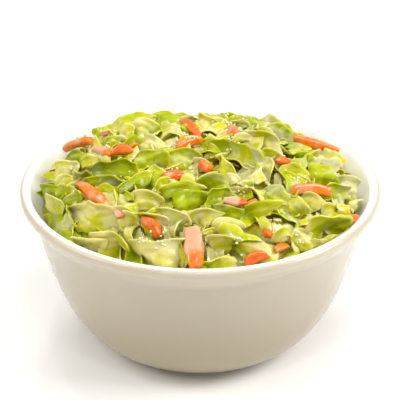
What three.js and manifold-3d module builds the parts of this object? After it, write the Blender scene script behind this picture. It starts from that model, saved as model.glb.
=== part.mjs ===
// A white porcelain side bowl heaped with coleslaw: chopped cabbage leaf, pale ribs and carrot sticks.
// Units are millimetres, +Z is up, and the origin is the middle of the foot, on the table.
// The serving side of the bowl faces -Y.
import * as THREE from "three";
import { mergeVertices } from "three/addons/utils/BufferGeometryUtils.js";
import Module from "manifold-3d";

// ---- driving dimensions of the bowl ----
const RIM_RADIUS = 58;
const BOWL_HEIGHT = 55;
const WALL = 3.3;
const LIP_RADIUS = 1.85; // the rim's round edge
const LIP_UNDER = -0.66; // where the round edge passes into the flare, in radians below level
const FLARE_DROP = 8.4; // how far under the rim the flare meets the wall
const FLARE_EASE = 2.2; // how gently the flare leaves the wall and meets the lip
const FLARE_RADIUS = 0.936 * RIM_RADIUS;
const WALL_BULGE = new THREE.Vector2(0.835 * RIM_RADIUS, 0.45 * BOWL_HEIGHT); // pulls the side wall in
const BASE_BULGE = 0.77 * RIM_RADIUS; // pulls the rounded bottom out
const FOOT_RADIUS = 0.39 * RIM_RADIUS;
const FOOT_WIDTH = 3.2;
const FOOT_RECESS = 1.2;

// ---- driving dimensions of the heap ----
const GAP = 0.35; // between the salad and the porcelain
const HEAP_RADIUS = 54;
const HEAP_EDGE = BOWL_HEIGHT - 5; // where the salad meets the wall
const HEAP_CROWN = BOWL_HEIGHT + 8; // the middle of the heap
const CORE_DEPTH = 2.6; // how far the packed salad lies under the middle of the loose pieces on top
const CORE_RELIEF = 0.45;
const CORE_RIPPLES = { x: 0.42, y: 0.37, slanting: 0.23, start: 1.3 }; // of its uneven top, in radians per mm
const CORE_RINGS = [0.95, 0.85, 0.71, 0.54, 0.36, 0.18, 0]; // of its top, as shares of its edge's radius
const CORE_SHOULDER = 3; // how far the straight stretch under its edge reaches down
const BITE = 1.5; // how much of a piece is sunk in what it lies on, in mm³
const DROP_STEP = 0.4;
const EDGE_SINK = 3.2; // how much lower the pieces lie at the wall
const TOP_RAISE = 0.8; // how much higher the leaves on top lie
const RIB_RAISE = 0.5;
const CARROT_RAISE = 0.7; // a carrot lies on the leaves
const CARROT_SIDES = 6;
const CARROT_FLATNESS = 0.8; // a carrot stick's height as a share of its width
const CARROT_TIP = 0.65; // a carrot stick's width at its ends, as a share of its middle
const LEAF_THICKNESS = 1.0;
const LEAF_WAVE = 0.6;
const LEAF_WAVES = 3.5; // radians of its wave from a leaf's middle to its end
const RIB_THICKNESS = 2.2;
const END_SKEW = 0.4; // how far the cuts at a piece's ends are from square
const TAPER_POWER = 1.2;
const CUPPING = 0.55; // how much of its cup a piece keeps once it is pressed into the heap
const MOST_ARCH = 1.2; // how far past a piece's ends its arch goes on, where a cut slants
const UNDERSIDE_SHARE = 0.7; // of a piece's thickness, between its underside and the wall
const NORMAL_STEP = 0.04;
const STEP_LENGTHS = [10, 18]; // past each of these lengths a piece has one more step along it
const WIDE = 7.5; // past this width a piece has a second step across

const BOWL_SEGMENTS = 52;
const CORE_SEGMENTS = 36;

// ---- the pieces that lie on top ----
// Each row is one piece: the plan of its two ends, x0 y0 x1 y1, its width, then how it lies.
// Roll turns its face about its own length: a piece that runs to +X leans its face to the serving side.
// Bow lifts its middle and cup lifts its two long edges. Twist turns its two ends opposite ways and swing
// bends it sideways. Taper narrows its second end by that share, or its first where it is negative.
// Slant shifts its far edge along it.
const LEAVES = [
  // along the back
  [-15, 40, -5, 41, 5, 30, 1, 0.5, 8, 0, 0.2, 0.2],
  [-22, 22, -15.5, 20, 9, 46, 1, -1.5, 0, 0, 0.2, 0],
  [-27, 21.5, -22, 18, 7, 40, 1.5, -1.8, 10, 0, 0.2, 0],
  [-31.5, 22, -28, 15, 5, 40, 1, 1.2, 20, 0, 0.3, 0.3],
  [-2, 25, 3, 22, 9.5, 50, 1, -1.5, 10, 0, -0.2, 0.2],
  [2.5, 23, 8, 22, 7, 46, 1.5, -1.8, -6, 0, 0.2, 0],
  [9, 26, 19.5, 31, 8, 40, 1.5, 1, 10, 0, -0.4, 0.2],
  [18, 32, 31, 27, 6.5, 42, 1.5, -1, 6, 0, 0, 0.2],
  [27, 28, 36, 20, 5.5, 42, 1, 1, 0, 0, 0.2, 0.1],
  [22, 36, 33, 29, 3, 20, 1, 0.5, 0, 0, 0.2, 0],
  [23, 20, 33.5, 10, 7, 42, 1.5, -1.5, 0, 0, 0.2, 0.1],
  // the left half
  [-19.5, 8, -13, 4, 7, 45, 1.5, -1.8, 20, 0, 0.2, 0.2],
  [-22, 6, -24, -3, 5, 40, 1.5, 1.3, 25, 1, -0.3, 0],
  [-48, 10, -44, 4.5, 5.5, 48, 1, 1, 10, 0, 0.2, 0],
  [-45.5, 3, -39, 1, 6, 42, 1.2, -1.4, 10, 0, 0.2, 0],
  [-36, -14.5, -30.5, -15.5, 7, 60, 1, 1.5, 0, 0, 0, 0],
  [-20, -4.5, -10.5, -5.5, 8.5, 52, 1, -1.2, 10, 0, 0, 0.25],
  [-31.5, -14, -22.5, -19, 7, 50, 1, 1, -4, 0, 0.5, 0.2],
  [-45, -4.5, -40, -8, 6, 45, 1, -1.4, 0, 0, 0.2, 0],
  [-50.5, -4, -45.5, -9, 8, 52, 1, 1, 0, 0, 0.1, 0.1],
  [-41.5, -21, -38, -29, 6.5, 46, 1, 1, 0, 0, 0, 0],
  [-48, -20, -36, -35, 6, 42, 1, -1, -16, -1, 0.2, 0],
  [-31, -18.5, -20.5, -25, 5, 42, 1, -0.9, 8, 0, 0.2, 0.1],
  [-30.5, -22.5, -23, -28, 4.5, 40, 1, -0.8, 0, 0, 0.2, 0],
  [-29, -38.5, -21.5, -42, 10, 56, 1, -1, 8, 0, 0, 0.1],
  [-17, -15.5, -11, -17, 9, 56, 1, -1.8, 4, 0, 0.4, 0.3],
  // the middle
  [-12, 10, -7, 1.5, 6, 35, 2, -1.5, 15, 0, 0.2, 0.2],
  [-10.5, -4.5, -2, -5.5, 8, 50, 1.5, -1.6, 12, 0, 0, 0.1],
  [0, 10, 5, 6, 6, 42, 1, -1.4, 10, 0, 0.2, 0],
  [-10, -23, -0.5, -24, 6.5, 50, 1.5, 1, -4, 0, -0.4, 0],
  [-8.5, -29, 2, -31, 9, 48, 1.5, -1.2, 8, 0, 0.1, 0.1],
  [0.5, -22, 10, -21.5, 6, 40, 2, -1, -6, 0, 0.2, 0],
  [5.5, -6, 9, -16, 6, 45, 1.5, 1.5, 10, 0, 0.1, 0.1],
  [4, -38, 11, -39.5, 6, 48, 1, -1.4, 0, 0, 0, 0],
  [-6, -43, -4, -49, 6, 50, 1, 1, 0, 0, 0, 0],
  [-19, -45.5, -6, -48, 12, 50, 1.5, -1, 0, 0, 0, 0],
  [1, -49, 11, -48, 4.5, 50, 0.8, -0.8, -6, 0, 0, 0],
  // the right half
  [16.5, -9, 18.5, -18, 5, 42, 1.5, -1, 0, 0, 0, 0],
  [20.5, -0.5, 25.5, -4, 6, 48, 1, 1, 0, 0, 0.2, 0],
  [39, 12, 45, 7, 7, 45, 2, -1.6, 10, 0, 0.2, 0],
  [33.5, -8, 44, -6, 8.5, 46, 2, -1.4, 0, 0, 0, 0.1],
  [44, -7, 51, -3, 11, 52, 1, 1.4, 0, 0, 0.1, 0],
  [38.5, -14, 45.5, -11.5, 8.5, 50, 1, 1.2, -6, 0, 0, 0.1],
  [30.5, -22, 37, -22.5, 6.5, 48, 1, -1, -4, 0, 0, 0.2],
  [27, -24, 31.5, -28, 6, 48, 1, -1, 0, 0, 0.1, 0],
  [27, -39, 33, -37.5, 9, 54, 0.8, -0.8, -10, 0, 0, 0],
  [39, -34, 46, -26, 6, 46, 1, -1, 0, 0, 0, 0],
  [24, -45.5, 31, -42.5, 5, 45, 1, -0.8, 0, 0, 0, 0],
  [36, -35.5, 43, -30, 5, 46, 1, -0.8, 0, 0, 0, 0],
];
const TOP_LEAVES = [
  [-29, 25, -15, 27, 10, 36, 1.5, -1.2, -6, 0, 0, 0.1],
  [-17, 30.5, -6, 31.5, 7, 30, 1.5, 0.8, 8, 0, 0.2, 0.2],
  [-10.5, 30, -5, 15, 6, 34, 1, -1, 20, 0, 0.3, 0.2],
  [-36, 24, -28, 29, 7, 44, 1, -1, 10, 0, 0.2, 0.2],
  [-17, 19, -5.5, 10, 12, 48, 1.5, -1.5, 0, 0, 0.7, 0],
  [-46.5, 5, -35, 4, 3.5, 35, 3.5, -0.8, -6, 0, 0, 0],
  [-41, -11, -33, -12.5, 11, 60, -0.5, -1.8, 8, 0, -0.1, 0.1],
  [-34.5, -11, -19, -13.5, 10, 56, 1, 1.2, -6, 0, 0, 0.15],
  [-24.5, -21.5, -16, -16.5, 6, 48, 1.2, -1.2, 4, 0, -0.7, 0.2],
  [-13.5, -22.5, -9, -20, 6, 50, 0.8, 1, 0, 0, -0.5, 0.2],
  [-45, -10, -35.5, -19, 5, 42, 1.5, -1, -2, 0, 0.3, 0],
  [-47.5, -15, -42, -19.5, 9, 60, 0.8, -1.2, 10, 0, 0.15, 0.1],
  [-42.5, -18, -35, -20, 6.5, 50, 0.6, 0.5, -4, 0, -0.8, 0],
  [-42.5, -24.5, -21.5, -36, 10.5, 46, 1.5, -1.8, 0, 1, -0.25, 0],
  [-24, -33, -18, -35.5, 6, 50, 1, -1.6, 10, 0, 0.3, 0],
  [-36, -36, -28, -41, 8, 54, 0.8, -1, -10, 0, 0, 0.25],
  [-19.5, -27, -12.5, -29.5, 7, 46, 1.2, -1.8, -10, 0, 0.3, 0],
  [-17.5, -36.5, -11, -38.5, 9, 54, 0.8, -2, 0, 0, 0.1, 0],
  [-11, -35.5, -4, -38.5, 8.5, 52, 1.2, 1.5, 6, 0, 0.1, 0.1],
  [-6.5, -34.5, -3, -38, 4, 40, 1, -1, 8, 0, 0.3, 0],
  [-6.5, -35, -8, -42, 4.5, 45, 1, 1, 20, 0, 0, 0],
  [-18.5, -31, -20.5, -46.5, 3, 35, 1.5, -0.6, 20, -2, -0.2, 0],
  [12, 6, 19, 4, 12, 60, 0.8, -1.2, 6, 0, -0.3, 0.35],
  [19, 6, 26, 3, 12, 60, 0.8, 1.2, -8, 0, 0.3, -0.3],
  [4, 2.5, 18.5, -8.5, 6.5, 44, 1.5, 1.5, -10, 1, 0.1, 0.1],
  [7, 5, 15.5, -2, 3.5, 28, 1.5, -0.8, 0, 0, 0.3, 0],
  [31, 2, 44.5, 0, 9, 44, -2, 1.5, 0, 0, 0, 0.1],
  [34, 6, 42.5, 5, 3, 28, -1.5, 0.6, 0, 0, 0, 0],
  [29, -9, 31.5, 3, 8, -22, 1, 2.6, -15, 0, -0.5, 0],
  [41, -4, 49, -2, 2.5, 25, 1, 0.4, 0, 0, 0.2, 0],
  [19, -5, 21.5, -15, 6, 40, 1.5, -1.6, 20, 0, 0, 0],
  [23.5, -9, 27.5, -23, 3.6, -22, 1.4, 1.4, 20, 1.8, 0, 0],
  [20, -20, 28, -26, 7, 46, -1.2, 1.5, 4, 0, 0, 0],
  [-0.5, -19, 3.5, -17.5, 6, 60, 0.3, -0.5, 10, 0, -0.7, 0.2],
  [2, -28.5, 9, -27, 7, 56, 0.5, 0.5, 4, 0, 0, 0.15],
  [3, -33, 13, -35, 5.5, 46, 0.5, 0.8, 4, 0, 0, 0],
  [12, -35, 20, -31, 6, 46, 1, -1, 0, 0, 0, 0.3],
  [5, -39, 22.5, -45.5, 6.5, 44, 2, -1.6, -4, -1.5, 0.1, 0],
  [3.5, -45, 9.5, -44.5, 9, 54, 0.8, -2.2, 8, 0, 0, 0],
  [31, -33.5, 43, -27, 12.5, 54, 1.5, -1.6, 8, 0, 0, 0.1],
  [32, -37, 39, -34.5, 4.5, 50, 0.5, 0.5, 4, 0, 0.4, 0.2],
  [20.5, -41, 27, -38.5, 3, 12, 6, 0.3, 0, 0, 0, 0],
];
const RIBS = [
  [-24, -30.5, -18.5, -29.5, 3.5, 30, 0.5, -0.5, 0, 0, 0.2, 0],
  [3.5, 6.5, 11.5, 13, 3, 20, 0.5, -0.5, 0, 0, 0.1, 0],
  [-34.5, 8, -29, 1, 4, 25, 0.5, -0.6, 0, 0, 0.2, 0],
  [36, 3.5, 43, 15.5, 2.5, 30, -0.5, 0.4, 0, 0, 0.2, 0],
];
// Carrot sticks: the plan of the two ends, the width, and how far it is raised.
const CARROTS = [
  [-45, 16, -35.5, 11, 3, 2.5],
  [-34.5, 7, -28.5, 0.5, 3.2, 0.8],
  [-28.5, 1, -21.5, 2, 3.2, 1],
  [-5.5, 25.5, 0, 12, 3, 0.7],
  [-7.5, 2.5, -0.5, 8.5, 4, 0.7],
  [0.5, -6.5, 3.5, -11.5, 3.5, 0.5],
  [-11, -17, -5, -14.5, 4, 0.4],
  [10, 20, 13, 10.5, 4, 0.2],
  [30.5, 12.5, 46.5, 17.5, 3.8, 1],
  [28, -21.5, 40.5, -17, 3.5, 0.8],
  [-37.5, -13.5, -26, -30, 3.8, 0.5],
  [-17, -36.5, -12, -43, 3.5, 0.5],
  [-2, -40.5, -1, -52, 5.4, 0.3],
  [7, -30, 14, -30.5, 3.2, 1],
  [24, -5, 28, -4, 3.2, 0.5],
  [13, -50, 19.5, -46.5, 3, 0.5],
  [43.5, -26.5, 49.5, -19, 3.2, 0],
];
// Leaf pieces on the far side of the heap, which the rows above leave bare, spread along an arc.
const FAR_COUNT = 9;
const FAR_RADIUS = 42;
const FAR_SPREAD = 4; // how far in and out of the arc they lie, by turns
const FAR_ARC = [0.1 * Math.PI, 0.9 * Math.PI];
const FAR_TURN = [0.3, 0.7]; // how far each is turned from the radius it lies on, in half turns
const FAR_HALF_LENGTH = [5, 8];
const FAR_WIDTH = [7, 10];
const FAR_ROLL = [-45, 0];
const FAR_BOW = [0, 2];
const FAR_CUP = [-1, 1];
const FAR_TWIST = [-25, 25];
const FAR_SWING = [-1.5, 1.5];
const FAR_TAPER = [-0.5, 0.5];
const SEED = 7;

const wasm = await Module();
wasm.setup();

function makeRandom(seed) {
  let state = seed >>> 0;
  return (low, high) => {
    state = (Math.imul(state, 1664525) + 1013904223) >>> 0;
    return low + ((high - low) * state) / 2 ** 32;
  };
}

// ---- shared shape functions ----

// The wall's outer side from the foot up to the underside of the lip, as points (radius, height).
function outerWall(wallSteps, flareSteps) {
  const lipEnd = new THREE.Vector2(
    RIM_RADIUS - LIP_RADIUS + LIP_RADIUS * Math.cos(LIP_UNDER),
    BOWL_HEIGHT - LIP_RADIUS + LIP_RADIUS * Math.sin(LIP_UNDER),
  );
  const flareStart = new THREE.Vector2(FLARE_RADIUS, BOWL_HEIGHT - FLARE_DROP);
  const wall = new THREE.CubicBezierCurve(
    new THREE.Vector2(FOOT_RADIUS, 0),
    new THREE.Vector2(BASE_BULGE, 0),
    WALL_BULGE,
    flareStart,
  );
  const upTheWall = flareStart.clone().sub(WALL_BULGE).setLength(FLARE_EASE);
  const roundTheLip = new THREE.Vector2(-Math.sin(LIP_UNDER), Math.cos(LIP_UNDER)).setLength(FLARE_EASE);
  const flare = new THREE.CubicBezierCurve(
    flareStart,
    flareStart.clone().add(upTheWall),
    lipEnd.clone().sub(roundTheLip),
    lipEnd,
  );
  return wall.getPoints(wallSteps).concat(flare.getPoints(flareSteps).slice(1));
}

// The wall's inner side, from the middle of the floor up to the inside of the lip.
function innerWall(wallSteps) {
  const outside = outerWall(wallSteps, 2);
  const inside = outside.slice(1, wallSteps + 1).map((point, i) => {
    const along = outside[i + 2].clone().sub(outside[i]).normalize();
    return new THREE.Vector2(point.x - along.y * WALL, point.y + along.x * WALL);
  });
  const floor = new THREE.Vector2(0, inside[0].y);
  const lipInside = new THREE.Vector2(RIM_RADIUS - 2 * LIP_RADIUS, BOWL_HEIGHT - LIP_RADIUS);
  return [floor, ...inside, lipInside];
}

// The bowl's inside radius at a height, read off the inner side.
const INNER_WALL = innerWall(12);
function innerRadius(height) {
  const above = INNER_WALL.findIndex((point, i) => i > 0 && point.y > height);
  if (above < 0) return INNER_WALL.at(-1).x;
  const [low, high] = [INNER_WALL[above - 1], INNER_WALL[above]];
  return THREE.MathUtils.mapLinear(height, low.y, high.y, low.x, high.x);
}

function heapHeight(x, y) {
  const share = Math.min(1, Math.hypot(x, y) / HEAP_RADIUS);
  return HEAP_EDGE + (HEAP_CROWN - HEAP_EDGE) * (1 - share ** 4);
}

function coreHeight(x, y) {
  const crossing = Math.sin(CORE_RIPPLES.x * x + CORE_RIPPLES.start) * Math.cos(CORE_RIPPLES.y * y);
  const bumps = crossing + Math.sin(CORE_RIPPLES.slanting * (x - y));
  return heapHeight(x, y) - CORE_DEPTH + CORE_RELIEF * bumps;
}

function onHeap(x, y) {
  return new THREE.Vector3(x, y, heapHeight(x, y));
}

function heapNormal(x, y) {
  const step = 0.5;
  const slopeX = (heapHeight(x + step, y) - heapHeight(x - step, y)) / (2 * step);
  const slopeY = (heapHeight(x, y + step) - heapHeight(x, y - step)) / (2 * step);
  return new THREE.Vector3(-slopeX, -slopeY, 1).normalize();
}

// Moves a point in from the bowl's wall, so that what lies against the porcelain bends along it.
function keepInside(point, room) {
  const radius = Math.hypot(point.x, point.y);
  const most = innerRadius(point.z) - room;
  if (radius > most) {
    point.x *= most / radius;
    point.y *= most / radius;
  }
  return point;
}

function solidOf(geometry) {
  const bare = geometry.clone();
  bare.deleteAttribute("normal");
  bare.deleteAttribute("uv");
  const merged = mergeVertices(bare, 1e-4);
  return new wasm.Manifold(
    new wasm.Mesh({
      numProp: 3,
      vertProperties: merged.attributes.position.array,
      triVerts: new Uint32Array(merged.index.array),
    }),
  );
}

function geometryOf(solid) {
  const mesh = solid.getMesh();
  const geometry = new THREE.BufferGeometry();
  geometry.setAttribute("position", new THREE.BufferAttribute(mesh.vertProperties, 3));
  geometry.setIndex(new THREE.BufferAttribute(mesh.triVerts, 1));
  geometry.computeVertexNormals();
  return geometry;
}

// ---- pieces ----

// How much lower a piece lies the nearer it is to the wall.
function sunk(middle) {
  return EDGE_SINK * (Math.hypot(middle.x, middle.y) / HEAP_RADIUS) ** 3;
}

// Where a piece lies: its middle, its length, and the directions along it, to its side and upwards.
function layOut(x0, y0, x1, y1) {
  const start = onHeap(x0, y0);
  const end = onHeap(x1, y1);
  const middle = start.clone().lerp(end, 0.5);
  const along = end.clone().sub(start).normalize();
  const normal = heapNormal(middle.x, middle.y);
  const side = normal.clone().cross(along).normalize();
  return { middle, along, normal, side, length: start.distanceTo(end) };
}

// One thin wavy solid: a grid bent into the piece's form, with a face on each side and an edge all round.
// Its end cuts are skewed by where they lie, so that no two pieces have one outline.
// What comes back is a function of how far the piece is lowered into the heap.
function sheet([x0, y0, x1, y1, width, roll, bow, cup, twist, swing, taper, slant], thickness, wave, raise) {
  const { middle, along, normal, side, length } = layOut(x0, y0, x1, y1);
  const skews = [END_SKEW * Math.sin(2 * x0 + y0), END_SKEW * Math.sin(2 * x1 + y1)];
  const bulge = normal.multiplyScalar(bow).addScaledVector(side, swing);
  const lengthSteps = 2 + STEP_LENGTHS.filter((most) => length > most).length;
  const widthSteps = width > WIDE ? 2 : 1;
  const grid = new THREE.PlaneGeometry(2, 2, lengthSteps, widthSteps);
  const at = grid.attributes.position;
  const place = (u, v) => {
    const towardsTip = Math.max(0, (1 + Math.sign(taper) * u) / 2);
    const share = 1 - Math.abs(taper) * towardsTip ** TAPER_POWER;
    const skew = slant + skews[u < 0 ? 0 : 1] * u ** 2;
    const w = u + (skew * v * share * width) / length;
    const arch = 1 - THREE.MathUtils.clamp(w, -MOST_ARCH, MOST_ARCH) ** 2;
    const ahead = along.clone().addScaledVector(bulge, (-4 * w) / length).normalize();
    const across = side.clone().addScaledVector(ahead, -side.dot(ahead)).normalize();
    across.applyAxisAngle(ahead, THREE.MathUtils.degToRad(roll + twist * u));
    const lift = CUPPING * cup * (v * share) ** 2 + wave * v * Math.sin(LEAF_WAVES * u + x0);
    const point = middle.clone().addScaledVector(along, (w * length) / 2);
    point.addScaledVector(bulge, arch).addScaledVector(across, (v * share * width) / 2);
    return point.addScaledVector(ahead.cross(across), lift);
  };
  const count = at.count;
  const faces = [];
  const corners = grid.index.array;
  for (let i = 0; i < corners.length; i += 3) {
    const [a, b, c] = [corners[i], corners[i + 1], corners[i + 2]];
    faces.push(a, b, c, count + a, count + c, count + b);
  }
  for (const [a, b] of border(lengthSteps, widthSteps)) {
    faces.push(a, count + a, b, b, count + a, count + b);
  }
  return (drop) => {
    const positions = new Float32Array(count * 6);
    for (let i = 0; i < count; i++) {
      const [u, v] = [at.getX(i), at.getY(i)];
      const alongHere = place(u + NORMAL_STEP, v).sub(place(u - NORMAL_STEP, v));
      const acrossHere = place(u, v + NORMAL_STEP).sub(place(u, v - NORMAL_STEP));
      const out = alongHere.cross(acrossHere).setLength(thickness / 2);
      const point = place(u, v);
      point.z += raise - sunk(middle) - drop;
      keepInside(point.clone().add(out), GAP).toArray(positions, i * 3);
      const under = point.clone().sub(out);
      keepInside(under, GAP + UNDERSIDE_SHARE * thickness).toArray(positions, (count + i) * 3);
    }
    const geometry = new THREE.BufferGeometry();
    geometry.setAttribute("position", new THREE.BufferAttribute(positions, 3));
    geometry.setIndex(faces);
    return solidOf(geometry);
  };
}

// The grid's border as pairs of vertices, anticlockwise as its face is seen.
function border(lengthSteps, widthSteps) {
  const row = lengthSteps + 1;
  const ring = [];
  for (let j = 0; j < widthSteps; j++) ring.push(j * row);
  for (let i = 0; i < lengthSteps; i++) ring.push(widthSteps * row + i);
  for (let j = widthSteps; j > 0; j--) ring.push(j * row + lengthSteps);
  for (let i = lengthSteps; i > 0; i--) ring.push(i);
  return ring.map((vertex, i) => [vertex, ring[(i + 1) % ring.length]]);
}

// A carrot stick: a six-sided bar, thinner towards its ends, that lies on the leaves.
function carrotStick([x0, y0, x1, y1, width, raise]) {
  const { middle, along, side, length } = layOut(x0, y0, x1, y1);
  const face = along.clone().cross(side);
  return (drop) => {
    const bar = new THREE.CylinderGeometry(width / 2, width / 2, length, CARROT_SIDES, 2);
    const at = bar.attributes.position;
    for (let i = 0; i < at.count; i++) {
      const u = at.getY(i) / length;
      const slim = 1 - (1 - CARROT_TIP) * (2 * u) ** 2;
      const point = middle.clone().addScaledVector(along, u * length);
      point.addScaledVector(side, at.getX(i) * slim);
      point.addScaledVector(face, -at.getZ(i) * slim * CARROT_FLATNESS);
      point.z += CARROT_RAISE + raise - drop;
      at.setXYZ(i, ...keepInside(point, GAP).toArray());
    }
    return solidOf(bar);
  };
}

// Lowers a piece step by step until it reaches into what lies under it, and fuses it on.
function layOn(heap, pieceAt) {
  for (let drop = 0; ; drop += DROP_STEP) {
    const piece = pieceAt(drop);
    if (heap.intersect(piece).volume() > BITE) return heap.add(piece);
  }
}

function farRows(random) {
  return Array.from({ length: FAR_COUNT }, (_, k) => {
    const angle = THREE.MathUtils.lerp(...FAR_ARC, k / (FAR_COUNT - 1));
    const radius = FAR_RADIUS + FAR_SPREAD * (-1) ** k;
    const heading = angle + random(...FAR_TURN) * Math.PI;
    const half = random(...FAR_HALF_LENGTH);
    const [x, y] = [radius * Math.cos(angle), radius * Math.sin(angle)];
    const [dx, dy] = [half * Math.cos(heading), half * Math.sin(heading)];
    const lies = [FAR_WIDTH, FAR_ROLL, FAR_BOW, FAR_CUP].map((range) => random(...range));
    const bends = [FAR_TWIST, FAR_SWING, FAR_TAPER].map((range) => random(...range));
    return [x - dx, y - dy, x + dx, y + dy, ...lies, ...bends, 0];
  });
}

// ---- the two sub-parts ----

function bowlGeometry() {
  const foot = [
    new THREE.Vector2(0, FOOT_RECESS),
    new THREE.Vector2(FOOT_RADIUS - FOOT_WIDTH - 1, FOOT_RECESS),
    new THREE.Vector2(FOOT_RADIUS - FOOT_WIDTH, 0),
  ];
  const lip = new THREE.Path();
  lip.absarc(RIM_RADIUS - LIP_RADIUS, BOWL_HEIGHT - LIP_RADIUS, LIP_RADIUS, LIP_UNDER, Math.PI);
  const inside = innerWall(8).reverse().slice(1);
  const profile = [...foot, ...outerWall(9, 3), ...lip.getPoints(3).slice(1), ...inside];
  return new THREE.LatheGeometry(profile, BOWL_SEGMENTS).rotateX(Math.PI / 2);
}

// The packed salad under the loose pieces. It fills the bowl, and its top is uneven.
function coreGeometry() {
  const edgeHeight = HEAP_EDGE - CORE_DEPTH;
  const edge = new THREE.Vector2(innerRadius(edgeHeight) - GAP, edgeHeight);
  const wall = innerWall(6)
    .filter((point) => point.y < edgeHeight - CORE_SHOULDER)
    .map((point) => new THREE.Vector2(Math.max(0, point.x - GAP), point.y + GAP));
  const top = CORE_RINGS.map((share) => new THREE.Vector2(share * edge.x, BOWL_HEIGHT));
  const core = new THREE.LatheGeometry([...wall, edge, ...top], CORE_SEGMENTS).rotateX(Math.PI / 2);
  const at = core.attributes.position;
  for (let i = 0; i < at.count; i++) {
    if (at.getZ(i) > edgeHeight + 1) at.setZ(i, coreHeight(at.getX(i), at.getY(i)));
  }
  return core;
}

function slawGeometry() {
  const random = makeRandom(SEED);
  const leaves = [...farRows(random), ...LEAVES].map((row) => sheet(row, LEAF_THICKNESS, LEAF_WAVE, 0));
  const topLeaves = TOP_LEAVES.map((row) => sheet(row, LEAF_THICKNESS, LEAF_WAVE, TOP_RAISE));
  const ribs = RIBS.map((row) => sheet(row, RIB_THICKNESS, 0, RIB_RAISE));
  const carrots = CARROTS.map(carrotStick);
  const pieces = [...leaves, ...topLeaves, ...ribs, ...carrots];
  const heap = pieces.reduce(layOn, solidOf(coreGeometry()));
  // The largest shell is the heap's skin: fusing can leave a loose scrap or a closed pocket beside it.
  const shells = heap.decompose().sort((a, b) => b.volume() - a.volume());
  return geometryOf(shells[0]);
}

const porcelain = new THREE.MeshStandardMaterial({ color: 0xf4f0e8, roughness: 0.18, metalness: 0 });
const dressedCabbage = new THREE.MeshStandardMaterial({ color: 0xc3cc52, roughness: 0.35, metalness: 0 });

const bowl = new THREE.Mesh(bowlGeometry(), porcelain);
bowl.name = "bowl";

const coleslaw = new THREE.Mesh(slawGeometry(), dressedCabbage);
coleslaw.name = "coleslaw";

const sideDish = new THREE.Group();
sideDish.add(bowl, coleslaw);

export default sideDish;
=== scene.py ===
"""A white porcelain side bowl heaped with coleslaw.

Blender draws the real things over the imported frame: a smooth glazed bowl, a core of packed salad, and on it
the cabbage leaves, pale ribs, carrot sticks and dressing, each piece at its true size. Lengths are in
millimetres, as in the CAD, and become metres where a mesh is made. Only the studio is set out in metres.
"""

import math

import bpy
import numpy as np
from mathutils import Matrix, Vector


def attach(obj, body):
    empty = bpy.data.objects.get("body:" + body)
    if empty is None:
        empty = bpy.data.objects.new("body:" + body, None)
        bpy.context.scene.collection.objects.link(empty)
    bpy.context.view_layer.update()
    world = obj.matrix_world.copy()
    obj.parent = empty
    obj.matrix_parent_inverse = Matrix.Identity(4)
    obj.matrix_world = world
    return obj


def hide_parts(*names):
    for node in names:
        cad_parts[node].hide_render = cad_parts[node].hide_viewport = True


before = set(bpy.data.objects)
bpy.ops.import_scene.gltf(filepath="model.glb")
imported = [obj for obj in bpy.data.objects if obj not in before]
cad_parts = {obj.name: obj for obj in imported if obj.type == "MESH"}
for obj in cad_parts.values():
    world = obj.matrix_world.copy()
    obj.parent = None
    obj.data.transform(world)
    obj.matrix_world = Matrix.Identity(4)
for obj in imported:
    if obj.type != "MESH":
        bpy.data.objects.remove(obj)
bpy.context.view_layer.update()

MM = 0.001
GOLDEN_ANGLE = math.pi * (3 - math.sqrt(5))
SEED = 7

# ---- driving dimensions of the bowl, as in the CAD ----
RIM_RADIUS = 58
BOWL_HEIGHT = 55
WALL = 3.3
LIP_RADIUS = 1.85
LIP_UNDER = -0.66
FLARE_DROP = 8.4
FLARE_EASE = 2.2
FLARE_RADIUS = 0.936 * RIM_RADIUS
WALL_BULGE = (0.835 * RIM_RADIUS, 0.45 * BOWL_HEIGHT)
BASE_BULGE = 0.77 * RIM_RADIUS
FOOT_RADIUS = 0.39 * RIM_RADIUS
FOOT_WIDTH = 3.2
FOOT_RECESS = 1.2

# ---- the bowl's details ----
# The inner side of the foot's ring: how far in from it, and how high.
FOOT_INSIDE = [(1.6, FOOT_RECESS), (0.9, FOOT_RECESS - 0.2), (0.3, 0.3), (0, 0)]
WALL_STEPS = 40
FLARE_STEPS = 10
LIP_STEPS = 21
INSIDE_STEPS = 36
BOWL_SEGMENTS = 160
SHADE_AND_GLAZE_FADE = 6  # rings over which the outside's ivory glaze and painted shade turn to the white of the inside
SHADE_AND_GLAZE_OVERLAP = 2  # how many of them lie past the lip's middle, so that the ivory and its painted shade cover the lip's outer half

# ---- driving dimensions of the heap, as in the CAD ----
GAP = 0.35
HEAP_RADIUS = 54
HEAP_EDGE = BOWL_HEIGHT - 5
HEAP_CROWN = BOWL_HEIGHT + 8

# ---- how the pieces are made ----
CORE_DEPTH = 3.7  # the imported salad, under the middle of the loose pieces
CORE_EDGE_DEPTH = 2.2  # how much deeper it is near the wall
CORE_EDGE_START = 28  # the radius from which it deepens
CORE_EDGE_REACH = 22
CORE_BUMPS = 0.5
CORE_GRAIN = 0.3
CORE_WALL_STEPS = 14
CORE_SHOULDER = 2  # the height under its edge that one step spans, or a little more
CORE_RINGS = 60
CORE_SEGMENTS = 180
LEAF_THICKNESS = 0.42
PALE_THICKNESS = 0.52
RIB_THICKNESS = 1.8
RIB_WAVE = 0.3
RIB_CURL = 0.3
RIB_RAISE = 0.5
TOP_RISE = 0.8  # how much higher the leaves on top lie
LEAF_WAVE = 1.1
TOP_CALM = 0.35  # how much less wavy a leaf is for each millimetre that it is raised
GREEN_TONE = 0.5  # above this tone a piece is a green leaf
TAPER_POWER = 1.2
CURL_HIGH = (-0.5, 1.15)  # how far a leaf's two long edges turn over
CURL_LOW = (-1.0, 0.6)
RUFFLE = 0.7
CRINKLE = 0.2
CREASES = 2
VEIN_WIDTH = 0.15
VEIN_SWELL = 0.35
LUMPS = 0.14
EDGE_THINNING = 0.3
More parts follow.
